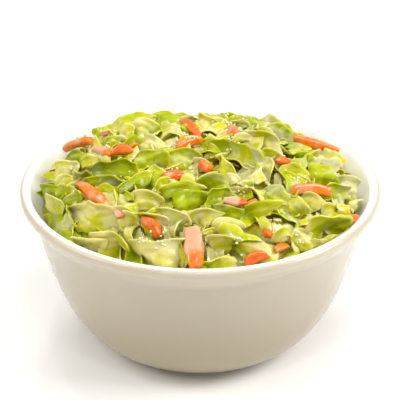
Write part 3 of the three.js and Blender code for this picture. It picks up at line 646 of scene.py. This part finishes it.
def solid_sheet(points, thickness):
    """A closed solid round a grid of points: a face on each side and a rounded edge between them."""
    rows, columns = points.shape[:2]
    count = rows * columns
    normals = grid_normals(points)
    half = (thickness / 2)[..., None] * normals
    ring = border_ring(rows, columns)
    flat = points.reshape(-1, 3)
    tangent = np.roll(flat[ring], -1, axis=0) - np.roll(flat[ring], 1, axis=0)
    outward = np.cross(tangent, normals.reshape(-1, 3)[ring])
    outward /= np.maximum(np.linalg.norm(outward, axis=1, keepdims=True), 1e-9)
    edge = flat[ring] + outward * (EDGE_ROUND * thickness.ravel()[ring])[:, None]
    vertices = np.vstack([(points + half).reshape(-1, 3), (points - half).reshape(-1, 3), edge])
    index = np.arange(count).reshape(rows, columns)
    top = np.stack([index[:-1, :-1], index[1:, :-1], index[1:, 1:], index[:-1, 1:]], axis=-1).reshape(-1, 4)
    bottom = top[:, ::-1] + count
    after = np.roll(ring, -1)
    rim = 2 * count + np.arange(len(ring))
    rim_after = np.roll(rim, -1)
    upper = np.column_stack([ring, rim, rim_after, after])
    lower = np.column_stack([rim, ring + count, after + count, rim_after])
    return vertices, np.vstack([top, bottom, upper, lower]), ring


def sunk(row):
    """How much lower a piece lies the nearer it is to the wall."""
    radius = math.hypot(row[0] + row[2], row[1] + row[3]) / 2
    return EDGE_SINK * (radius / HEAP_RADIUS) ** 3


def add_sheet(kind, row, thickness, wave, rng, ground, lift=0.0, curl=1.0):
    points, s, t, u, v = sheet_grid(row, rng, wave, curl)
    points[..., 2] += lift - sunk(row)
    rib_place = rng.uniform(-0.7, 0.7)
    vein = np.exp(-(((v - rib_place - 0.2 * u) / VEIN_WIDTH) ** 2))
    lumps = waves(rng, 4, 6)
    body = thickness * (1 + VEIN_SWELL * vein + LUMPS * lumps(s, t))
    edge = np.maximum(np.abs(u) ** 20, np.abs(v) ** 20)
    body = body * (1 - EDGE_THINNING * edge)
    keep_inside(points, GAP + thickness)
    vertices, faces, ring = solid_sheet(points, body)
    ground.cover(points)

    def on_all(field):
        """A value of the grid's points, for the solid's two faces and its edge."""
        return np.concatenate([field.ravel(), field.ravel(), field.ravel()[ring]])

    fade = rng.uniform(-0.3, 0.3) * u + rng.uniform(-0.25, 0.15) * v
    kind.add(
        vertices,
        faces,
        tone=on_all(np.full(u.shape, float(row[-1])) + fade),
        shade=rng.uniform(-1, 1),
        vein=on_all(vein),
        # The edge mask also paints the cut edges paler in the material, partly as a painted highlight.
        edge=on_all(edge),
        dressed=rng.uniform(0, 1),
    )


def add_carrot(kind, row, rng, ground):
    """A shard of carrot: a tapering bar with nearly flat sides and slanting knife cuts, a little bent."""
    x0, y0, x1, y1, width, rise, dressed = row
    start, end = on_heap(x0, y0), on_heap(x1, y1)
    middle = (start + end) / 2
    length = float(np.linalg.norm(end - start))
    along = unit(end - start)
    side = unit(np.cross(heap_normal(middle[0], middle[1]), along))
    roll = math.radians(rng.uniform(*CARROT_ROLL))
    across = math.cos(roll) * side + math.sin(roll) * np.cross(along, side)
    face = np.cross(along, across)
    rings = max(14, round(length / CARROT_RING_STEP))
    sides = CARROT_SIDES
    u = np.linspace(-1, 1, rings + 1)
    u = np.sign(u) * (1 - (1 - np.abs(u)) ** 1.4)
    angle = np.linspace(0, 2 * math.pi, sides, endpoint=False) + 0.1
    end_round = np.clip((1 - np.abs(u)) / 0.035, 0, 1) ** 0.6
    tips = rng.uniform(*CARROT_TIPS, 2)
    slim = end_round * (1.08 - (1 - np.where(u < 0, *tips)) * np.abs(u) ** 1.3)
    squareness = rng.uniform(*CARROT_SQUARENESS)
    square = (np.abs(np.cos(angle)) ** squareness + np.abs(np.sin(angle)) ** squareness) ** (-1 / squareness)
    lumps = waves(rng, 3, 7)
    spine = middle + (u * length / 2)[:, None] * along
    spine = spine + (rng.uniform(-CARROT_BEND, CARROT_BEND) * (1 - u**2))[:, None] * across
    spine[:, 2] += CARROT_RAISE + rise + rng.uniform(*CARROT_ARCH) * (1 - u**2)
    radius = width / 2 * slim[:, None] * square * (1 + 0.07 * lumps(u[:, None] * length / 2, 1.5 * angle))
    flat = rng.uniform(*CARROT_FLATNESS)
    wedge = 1 + rng.uniform(-CARROT_WEDGE, CARROT_WEDGE) * np.cos(angle)
    slant = rng.uniform(-CARROT_SLANT, CARROT_SLANT, 2)
    sideways = radius * np.cos(angle)
    upwards = flat * wedge * radius * np.sin(angle)
    lean = (np.where(u < 0, *slant) * np.abs(u) ** 4)[:, None] * sideways
    points = spine[:, None, :] + sideways[..., None] * across + upwards[..., None] * face
    points = points + lean[..., None] * along
    keep_inside(points, GAP)
    # The first and the last ring have shrunk to a point, so each is one vertex with a fan round it.
    faces, fans = tube_faces(rings - 1, sides)
    fade = 1 - 0.8 * smooth_step((u - 0.1) / 0.5)
    kind.add(
        np.vstack([points[1:-1].reshape(-1, 3), points[0, :1], points[-1, :1]]),
        faces,
        fans,
        dressed=dressed * np.concatenate([np.repeat(fade[1:-1], sides), fade[[0, -1]]]),
        shade=rng.uniform(-1, 1),
    )
    ground.cover(points)


def without_scraps(cells):
    """Keeps the cells of full blocks of 3 by 3, and fills in where two cells would touch only at a corner."""
    shifts = [(di, dj) for di in (-1, 0, 1) for dj in (-1, 0, 1)]
    middles = np.logical_and.reduce([np.roll(cells, shift, (0, 1)) for shift in shifts])
    cells = np.logical_or.reduce([np.roll(middles, shift, (0, 1)) for shift in shifts])
    touching = True
    while touching:
        a, b, c, d = cells[:-1, :-1], cells[1:, :-1], cells[:-1, 1:], cells[1:, 1:]
        corners = (a & d & ~b & ~c) | (b & c & ~a & ~d)
        for part in (a, b, c, d):
            part |= corners
        touching = corners.any()
    return cells


def add_dressing(kind, ground, rng):
    """Dressing fills the creases between the pieces, with a smooth meniscus up their sides."""
    axis = ground.low + CELL * np.arange(ground.count)
    x, y = np.meshgrid(axis, axis, indexing="ij")
    pieces = blurred(ground.z, PIECE_SMOOTH)
    broad = waves(rng, 7, 34)(x, y)
    level = blurred(ground.z, DRESSING_SMOOTH) - DRESSING_DEPTH + DRESSING_SWELL * broad
    level = level - EDGE_DRAIN * smooth_step((np.hypot(x, y) - DRAIN_START) / DRAIN_REACH)
    for pool_x, pool_y, radius in POOLS:
        level = level + POOL_DEPTH * np.exp(-((x - pool_x) ** 2 + (y - pool_y) ** 2) / radius**2)
    wet = (level > pieces - WET_MARGIN) & (np.hypot(x, y) < SPREAD_RADIUS)
    grown = wet.copy()
    for shift in (-1, 1):
        grown |= np.roll(wet, shift, 0) | np.roll(wet, shift, 1)
    top = np.stack([x, y, level], axis=-1)
    bottom = np.stack([x, y, level - DRESSING_THICKNESS], axis=-1)
    keep_inside(top, GAP)
    keep_inside(bottom, GAP)
    cells = without_scraps(grown[:-1, :-1] & grown[1:, :-1] & grown[1:, 1:] & grown[:-1, 1:])
    index = np.arange(x.size).reshape(x.shape)
    quads = np.stack([index[:-1, :-1], index[1:, :-1], index[1:, 1:], index[:-1, 1:]], axis=-1)[cells]
    padded = np.pad(cells, 1)
    sides = []
    for di, dj, first, second in ((0, -1, 0, 1), (1, 0, 1, 2), (0, 1, 2, 3), (-1, 0, 3, 0)):
        outside = ~padded[1 + di : padded.shape[0] - 1 + di, 1 + dj : padded.shape[1] - 1 + dj][cells]
        a, b = quads[outside, first], quads[outside, second]
        sides.append(np.column_stack([b, a, a + x.size, b + x.size]))
    faces = np.vstack([quads, quads[:, ::-1] + x.size, *sides])
    used, packed = np.unique(faces, return_inverse=True)
    vertices = np.vstack([top.reshape(-1, 3), bottom.reshape(-1, 3)])[used]
    kind.add(vertices, packed.reshape(faces.shape))


def add_drops(kind, ground, rng):
    """Small drops and bubbles of dressing that sit on the pieces and catch the light."""
    polar = np.linspace(DROP_POLE, math.pi - DROP_POLE, DROP_RINGS)[:, None]
    turn = np.linspace(0, 2 * math.pi, DROP_SIDES, endpoint=False)
    across, up = np.sin(polar), np.cos(polar) + 0 * turn
    ball = np.stack([across * np.cos(turn), across * np.sin(turn), up], axis=-1)
    faces, fans = tube_faces(DROP_RINGS, DROP_SIDES)
    ball = np.vstack([ball.reshape(-1, 3), [0, 0, 1], [0, 0, -1]])
    clusters = [(place, BUBBLE_COUNT) for place in BUBBLES]
    for _ in range(DROP_CLUSTERS):
        reach, angle = DROP_REACH * math.sqrt(rng.uniform()), rng.uniform(0, 2 * math.pi)
        clusters.append(((reach * math.cos(angle), reach * math.sin(angle)), rng.integers(*DROPS_TOGETHER)))
    for centre, count in clusters:
        for _ in range(count):
            x, y = centre + rng.normal(0, DROP_SCATTER, 2)
            size = rng.uniform(*DROP_SIZE)
            z = float(ground.height(np.array(x), np.array(y))) + DROP_RISE * size
            kind.add(ball * size * DROP_FORM + (x, y, z), faces[:, ::-1], fans[:, ::-1])


def spread_rows(random, rng):
    """The rows of the smaller leaves, each on the next turn of the golden angle."""
    rows = []
    for k in range(SPREAD_COUNT):
        radius = SPREAD_RADIUS * math.sqrt((k + 0.5) / SPREAD_COUNT)
        angle = k * GOLDEN_ANGLE
        heading = random(0, 2 * math.pi)
        half = random(*SPREAD_HALF_LENGTH)
        x, y = radius * math.cos(angle), radius * math.sin(angle)
        dx, dy = half * math.cos(heading), half * math.sin(heading)
        steepest = SPREAD_ROLL - SPREAD_ROLL_LOSS * (radius / SPREAD_RADIUS) ** 2
        shape = (random(*SPREAD_WIDTH), random(-steepest, steepest), random(*SPREAD_BOW), random(*SPREAD_CUP))
        shape += (random(*SPREAD_TWIST), random(*SPREAD_SWING), random(*SPREAD_TAPER), 0.0)
        shape += (rng.uniform(*SPREAD_TONE),)
        rows.append((x - dx, y - dy, x + dx, y + dy, *shape))
    return rows


# ---- materials ----


class Nodes:
    """A small helper for writing a node tree from top to bottom."""

    def __init__(self, name):
        self.material = bpy.data.materials.new(name)
        self.material.use_nodes = True
        self.tree = self.material.node_tree
        self.shader = self.tree.nodes["Principled BSDF"]

    def add(self, kind, settings=None, **inputs):
        node = self.tree.nodes.new(kind)
        for key, value in (settings or {}).items():
            setattr(node, key, value)
        for key, value in inputs.items():
            self.feed(node, key.replace("_", " "), value)
        return node

    def join(self, socket, value):
        """Links another socket to this one, or sets it to a plain value."""
        if isinstance(value, bpy.types.NodeSocket):
            self.tree.links.new(value, socket)
        else:
            socket.default_value = value

    def feed(self, node, name, value):
        self.join(node.inputs[name], value)

    def math(self, operation, a, b=0.0, c=0.0, clamp=False):
        node = self.tree.nodes.new("ShaderNodeMath")
        node.operation = operation
        node.use_clamp = clamp
        for socket, value in zip(node.inputs, (a, b, c)):
            self.join(socket, value)
        return node.outputs[0]

    def scaled(self, value, factor, offset, clamp=False):
        return self.math("MULTIPLY_ADD", value, factor, offset, clamp)

    def film(self, patches, dressed, share, start, gain, most):
        """Where milky dressing lies, which on the cabbage is partly a painted sheen: patches above a start
        value, more on a dressed piece.
        """
        film = self.scaled(dressed, share, patches)
        film = self.math("MULTIPLY", self.math("SUBTRACT", film, start), gain, clamp=True)
        return self.math("MULTIPLY", film, most)

    def attribute(self, name):
        return self.add("ShaderNodeAttribute", {"attribute_name": name}).outputs["Fac"]

    def noise(self, scale, detail=3.0, roughness=0.5, distortion=0.0):
        """Noise with its scale in features per millimetre."""
        place = self.add("ShaderNodeTexCoord").outputs["Object"]
        node = self.add("ShaderNodeTexNoise", Vector=place, Scale=scale / MM, Detail=detail)
        self.feed(node, "Roughness", roughness)
        self.feed(node, "Distortion", distortion)
        return node.outputs["Fac"]

    def ramp(self, value, stops):
        node = self.tree.nodes.new("ShaderNodeValToRGB")
        elements = node.color_ramp.elements
        while len(elements) < len(stops):
            elements.new(0.5)
        for element, (place, colour) in zip(elements, stops):
            element.position = place
            element.color = (*colour, 1)
        self.tree.links.new(value, node.inputs["Fac"])
        return node.outputs["Color"]

    def mix(self, share, a, b):
        node = self.tree.nodes.new("ShaderNodeMix")
        node.data_type = "RGBA"
        for name, value in (("Factor", share), ("A", a), ("B", b)):
            socket = next(s for s in node.inputs if s.name == name and s.enabled)
            self.join(socket, (*value, 1) if isinstance(value, tuple) else value)
        return next(s for s in node.outputs if s.enabled)

    def bump(self, height, strength, distance):
        node = self.add("ShaderNodeBump", Strength=strength, Distance=distance * MM, Height=height)
        return node.outputs["Normal"]

    def soft(self, weight, depth, radius):
        """Lets light seep in, to a depth in millimetres."""
        self.set(Subsurface_Weight=weight, Subsurface_Scale=depth * MM, Subsurface_Radius=radius)

    def wet(self, ior, roughness):
        self.set(Coat_Weight=1.0, Coat_IOR=ior, Coat_Roughness=roughness)

    def set(self, **inputs):
        for key, value in inputs.items():
            self.feed(self.shader, key.replace("_", " "), value)


# Milky dressing colour, whose patches on the cabbage are partly a painted sheen.
CREAM_AND_SHEEN = (0.71, 0.665, 0.43)


def cabbage_material(name):
    n = Nodes(name)
    tone = n.attribute("tone")
    shade = n.attribute("shade")
    vein = n.attribute("vein")
    edge = n.attribute("edge")
    dressed = n.attribute("dressed")
    broad = n.noise(0.12, 2)
    fine = n.noise(0.55, 4, 0.6)
    drift = n.scaled(n.math("SUBTRACT", broad, 0.5), 1.4, tone)
    drift = n.scaled(shade, 0.06, drift)
    drift = n.scaled(n.math("SUBTRACT", fine, 0.5), 0.18, drift)
    drift = n.scaled(vein, -0.22, drift)
    # Paler along the cut edges: partly the cut's own paler colour, partly a painted highlight where the edges
    # catch the light.
    drift = n.scaled(edge, -0.3, drift, clamp=True)
    colour = n.ramp(
        drift,
        [
            (0.0, (0.69, 0.635, 0.22)),
            (0.22, (0.55, 0.535, 0.02)),
            (0.5, (0.435, 0.48, 0.001)),
            (0.75, (0.345, 0.405, 0.001)),
            (1.0, (0.26, 0.31, 0.001)),
        ],
    )
    # Patches of milky dressing, partly real dressing and partly a painted sheen on the leaves.
    colour = n.mix(n.film(n.noise(0.10, 3, 0.5, 0.6), dressed, 0.2, 0.62, 5.5, 0.7), colour, CREAM_AND_SHEEN)
    rough = n.scaled(n.noise(0.8, 2), 0.25, 0.22)
    wet = n.noise(0.28, 2, 0.4, 0.8)
    height = n.scaled(fine, 0.35, n.scaled(vein, 0.4, wet))
    n.set(
        Base_Color=colour,
        Roughness=rough,
        Specular_IOR_Level=0.05,
        Normal=n.bump(height, 0.35, 0.5),
    )
    n.soft(0.8, 0.55, (1.0, 1.0, 0.5))
    n.wet(1.32, 0.07)
    return n.material


def carrot_material():
    n = Nodes("carrot")
    dressed = n.attribute("dressed")
    shade = n.attribute("shade")
    fine = n.noise(0.5, 4, 0.6)
    tone = n.scaled(shade, 0.12, fine)
    colour = n.ramp(
        tone, [(0.25, (0.68, 0.10, 0.001)), (0.5, (0.80, 0.165, 0.001)), (0.8, (0.86, 0.26, 0.003))]
    )
    film = n.film(n.noise(0.16, 3, 0.5, 0.5), dressed, 0.6, 0.68, 3.5, 0.8)
    colour = n.mix(film, colour, (0.70, 0.46, 0.30))
    n.set(
        Base_Color=colour,
        Roughness=n.scaled(fine, 0.25, 0.18),
        Specular_IOR_Level=0.3,
        Normal=n.bump(n.scaled(n.noise(0.22, 2), 1.5, fine), 0.4, 0.25),
    )
    n.soft(0.6, 0.6, (1.0, 0.5, 0.2))
    n.wet(1.4, 0.07)
    return n.material


def dressing_material():
    n = Nodes("dressing")
    cloud = n.noise(0.12, 3)
    colour = n.ramp(cloud, [(0.3, (0.50, 0.47, 0.08)), (0.5, (0.60, 0.56, 0.17)), (0.7, (0.70, 0.66, 0.33))])
    n.set(
        Base_Color=colour,
        Roughness=n.scaled(cloud, 0.15, 0.12),
        IOR=1.45,
        Normal=n.bump(n.noise(0.35, 2), 0.3, 0.4),
    )
    n.soft(0.8, 0.8, (1.0, 1.0, 0.6))
    n.wet(1.36, 0.05)
    return n.material


def drop_material():
    n = Nodes("dressing_drop")
    cloud = n.noise(0.3, 2)
    n.set(
        Base_Color=n.ramp(cloud, [(0.3, (0.72, 0.69, 0.40)), (0.7, (0.86, 0.84, 0.62))]),
        Roughness=n.scaled(cloud, 0.08, 0.05),
        IOR=1.36,
    )
    n.wet(1.36, 0.03)
    return n.material


def core_material():
    n = Nodes("packed_salad")
    lumps = n.noise(0.25, 4, 0.6)
    colour = n.ramp(
        lumps, [(0.3, (0.50, 0.37, 0.003)), (0.5, (0.60, 0.49, 0.008)), (0.7, (0.68, 0.59, 0.03))]
    )
    n.set(
        Base_Color=colour,
        Roughness=n.scaled(lumps, 0.3, 0.2),
        Normal=n.bump(n.noise(0.7, 4), 0.6, 0.5),
    )
    n.soft(0.4, 1.5, (1.0, 0.9, 0.3))
    return n.material


def porcelain_material():
    n = Nodes("porcelain")
    cloud = n.noise(0.02, 3)
    white = n.ramp(cloud, [(0.3, (0.955, 0.945, 0.94)), (0.7, (0.97, 0.96, 0.955))])
    # The outside's ivory is partly the glaze's colour and partly painted shade, darker and browner towards
    # the foot.
    height = n.add("ShaderNodeSeparateXYZ", Vector=n.add("ShaderNodeTexCoord").outputs["Object"]).outputs["Z"]
    height = n.math("DIVIDE", height, BOWL_HEIGHT * MM)
    height = n.scaled(n.math("SUBTRACT", cloud, 0.5), 0.2, height)
    ivory_and_painted_shade = n.ramp(height, [(0.1, (0.325, 0.268, 0.165)), (0.9, (0.505, 0.46, 0.36))])
    n.set(
        Base_Color=n.mix(n.attribute("outside"), white, ivory_and_painted_shade),
        Roughness=n.scaled(n.noise(0.05, 2), 0.06, 0.13),
        IOR=1.5,
        Normal=n.bump(n.noise(0.06, 2), 0.06, 0.4),
    )
    n.soft(1.0, 4.0, (1.0, 0.97, 0.95))
    return n.material


def floor_material():
    n = Nodes("floor")
    colour = n.ramp(n.noise(0.01, 2), [(0.4, (0.975, 0.975, 0.975)), (0.6, (0.985, 0.985, 0.985))])
    n.set(Base_Color=colour, Roughness=n.scaled(n.noise(0.02, 2), 0.1, 0.5))
    return n.material


# ---- the pieces of the scene ----


def lathe(name, profile, segments, material):
    """A body of revolution round Z. The profile starts and ends on the axis."""
    rings = np.asarray(profile[1:-1], float)
    angle = np.linspace(0, 2 * math.pi, segments, endpoint=False)
    x = rings[:, 0][:, None] * np.cos(angle)
    y = rings[:, 0][:, None] * np.sin(angle)
    z = np.repeat(rings[:, 1][:, None], segments, axis=1)
    vertices = np.stack([x, y, z], axis=-1).reshape(-1, 3)
    vertices = np.vstack([vertices, [0, 0, profile[0][1]], [0, 0, profile[-1][1]]])
    quads, fans = tube_faces(len(rings), segments)
    return make_piece(name, vertices, quads.tolist() + fans.tolist(), material)


def make_bowl():
    foot = [(0, FOOT_RECESS)] + [(FOOT_RADIUS - FOOT_WIDTH - depth, z) for depth, z in FOOT_INSIDE]
    turn = np.linspace(LIP_UNDER, math.pi, LIP_STEPS + 1)[1:]
    lip = np.column_stack(
        [
            RIM_RADIUS - LIP_RADIUS + LIP_RADIUS * np.cos(turn),
            BOWL_HEIGHT - LIP_RADIUS + LIP_RADIUS * np.sin(turn),
        ]
    )
    wall = outer_wall(WALL_STEPS, FLARE_STEPS)
    inside = inner_wall(INSIDE_STEPS)[::-1][1:]
    profile = [*foot, *wall, *lip, *inside, (0, inside[-1][1])]
    bowl = lathe("porcelain_bowl", profile, BOWL_SEGMENTS, porcelain_material())
    # The glaze is white inside and over the lip's inner side. Outside it is ivory glaze with painted shade,
    # darker and browner towards the foot, reaching over the lip's outer half.
    lip_middle = len(foot) + len(wall) + (LIP_STEPS + 1) // 2
    outside = smooth_step((lip_middle + SHADE_AND_GLAZE_OVERLAP - np.arange(1, len(profile) - 1)) / SHADE_AND_GLAZE_FADE)
    attribute = bowl.data.attributes.new("outside", "FLOAT", "POINT")
    attribute.data.foreach_set("value", np.append(np.repeat(outside, BOWL_SEGMENTS), (1.0, 0.0)))
    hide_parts("bowl")


def make_core():
    edge_height = HEAP_EDGE - CORE_DEPTH - CORE_EDGE_DEPTH
    wall = [(r - GAP, z + GAP) for r, z in inner_wall(CORE_WALL_STEPS) if z < edge_height - CORE_SHOULDER]
    edge = float(inner_radius(edge_height)) - GAP
    rings = [(0, wall[0][1])] + wall + [(edge, edge_height)]
    rings += [(edge * share, BOWL_HEIGHT) for share in np.linspace(0.985, 0.015, CORE_RINGS)]
    core = lathe("slaw_core", rings + [(0, BOWL_HEIGHT)], CORE_SEGMENTS, core_material())
    mesh = core.data
    place = np.empty(len(mesh.vertices) * 3)
    mesh.vertices.foreach_get("co", place)
    place = place.reshape(-1, 3) / MM
    top = place[:, 2] > edge_height + 1
    place[top, 2] = core_height(place[top, 0], place[top, 1])
    mesh.vertices.foreach_set("co", (place * MM).ravel())
    mesh.update()
    return core


def make_pieces():
    random = Random(SEED)
    rng = np.random.default_rng(SEED)
    ground = Ground()
    leaf = Kind("cabbage_leaf")
    pale = Kind("cabbage_pale")
    rib = Kind("cabbage_rib")
    carrot = Kind("carrot_stick")
    dressing = Kind("dressing")
    for row in spread_rows(random, rng):
        kind = leaf if row[-1] > GREEN_TONE else pale
        lift = -SPREAD_SINK - FRONT_SINK * smooth_step((FRONT_START - row[1]) / FRONT_REACH)
        add_sheet(kind, row, LEAF_THICKNESS, 1.0, rng, ground, lift)
    for rows, rise in ((LEAVES, 0.0), (TOP_LEAVES, TOP_RISE)):
        for row in rows:
            kind, thickness = (leaf, LEAF_THICKNESS) if row[-1] > GREEN_TONE else (pale, PALE_THICKNESS)
            add_sheet(kind, row, thickness, LEAF_WAVE - TOP_CALM * rise, rng, ground, rise)
    for row in RIBS:
        add_sheet(rib, row, RIB_THICKNESS, RIB_WAVE, rng, ground, lift=RIB_RAISE, curl=RIB_CURL)
    for row in CARROTS:
        add_carrot(carrot, row, rng, ground)
    add_dressing(dressing, ground, rng)
    drop = Kind("dressing_drop")
    add_drops(drop, ground, rng)
    green = cabbage_material("cabbage_leaf")
    white = cabbage_material("cabbage_heart")
    pieces = [
        leaf.build(green),
        pale.build(white),
        rib.build(white),
        carrot.build(carrot_material()),
        dressing.build(dressing_material()),
        drop.build(drop_material()),
    ]
    core = make_core()
    for piece in [core, *pieces]:
        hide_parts("coleslaw")


# ---- the studio ----

LOOK_AT = Vector((0, 0, 47.17)) * MM
DISTANCE = 406 * MM
ELEVATION = math.radians(28.32)
LENS = 112.03
SENSOR = 36
FLOOR_HALF = 3.0
SPARKLES = 8  # small lights that the wet pieces mirror
SPARKLE_REACH = 0.45
SPARKLE_HEIGHT = 0.75
SPARKLE_SIZE = (0.03, 0.03)
SPARKLE_POWER = 0.24
DAYLIGHT = 0.38


def make_camera():
    data = bpy.data.cameras.new("camera")
    data.lens = LENS
    data.sensor_width = SENSOR
    data.clip_start = 0.01
    camera = add_object("camera", data)
    camera.location = LOOK_AT + DISTANCE * Vector((0, -math.cos(ELEVATION), math.sin(ELEVATION)))
    camera.rotation_euler = (LOOK_AT - camera.location).to_track_quat("-Z", "Y").to_euler()
    bpy.context.scene.camera = camera


def softbox(name, place, size, power, colour):
    data = bpy.data.lights.new(name, "AREA")
    data.shape = "RECTANGLE"
    data.size, data.size_y = size
    data.energy = power
    data.color = colour
    light = add_object(name, data)
    light.location = place
    light.rotation_euler = (LOOK_AT - light.location).to_track_quat("-Z", "Y").to_euler()


def make_studio():
    mesh = bpy.data.meshes.new("floor")
    corners = [(x * FLOOR_HALF, y * FLOOR_HALF, 0) for x, y in ((-1, -1), (1, -1), (1, 1), (-1, 1))]
    mesh.from_pydata(corners, [], [(0, 1, 2, 3)])
    mesh.materials.append(floor_material())
    floor = add_object("floor", mesh)
    softbox("key_softbox", (-0.12, 0.4, 0.65), (0.3, 0.25), 1.2, (1.0, 0.99, 0.96))
    softbox("top_softbox", (0.05, -0.5, 0.8), (0.6, 0.4), 1.2, (1.0, 0.99, 0.97))
    for k in range(SPARKLES):
        angle = k * GOLDEN_ANGLE
        reach = SPARKLE_REACH * math.sqrt((k + 0.5) / SPARKLES)
        place = (reach * math.cos(angle), reach * math.sin(angle) - 0.1, SPARKLE_HEIGHT - 0.4 * reach)
        softbox(f"sparkle_{k}", place, SPARKLE_SIZE, SPARKLE_POWER, (1.0, 1.0, 1.0))
    softbox("left_softbox", (-0.7, -0.1, 0.55), (0.5, 0.4), 2.8, (1.0, 0.98, 0.95))
    softbox("right_softbox", (0.7, -0.1, 0.55), (0.5, 0.4), 6.0, (1.0, 0.98, 0.97))
    softbox("front_fill", (-0.2, -0.9, 0.3), (0.8, 0.5), 0.3, (1.0, 0.88, 0.68))
    world = bpy.data.worlds.new("studio")
    bpy.context.scene.world = world
    world.use_nodes = True
    background = world.node_tree.nodes["Background"]
    background.inputs["Color"].default_value = (1.0, 0.97, 0.92, 1)
    background.inputs["Strength"].default_value = DAYLIGHT
    bpy.context.scene.view_settings.view_transform = "Standard"


make_camera()
make_studio()
make_bowl()
make_pieces()
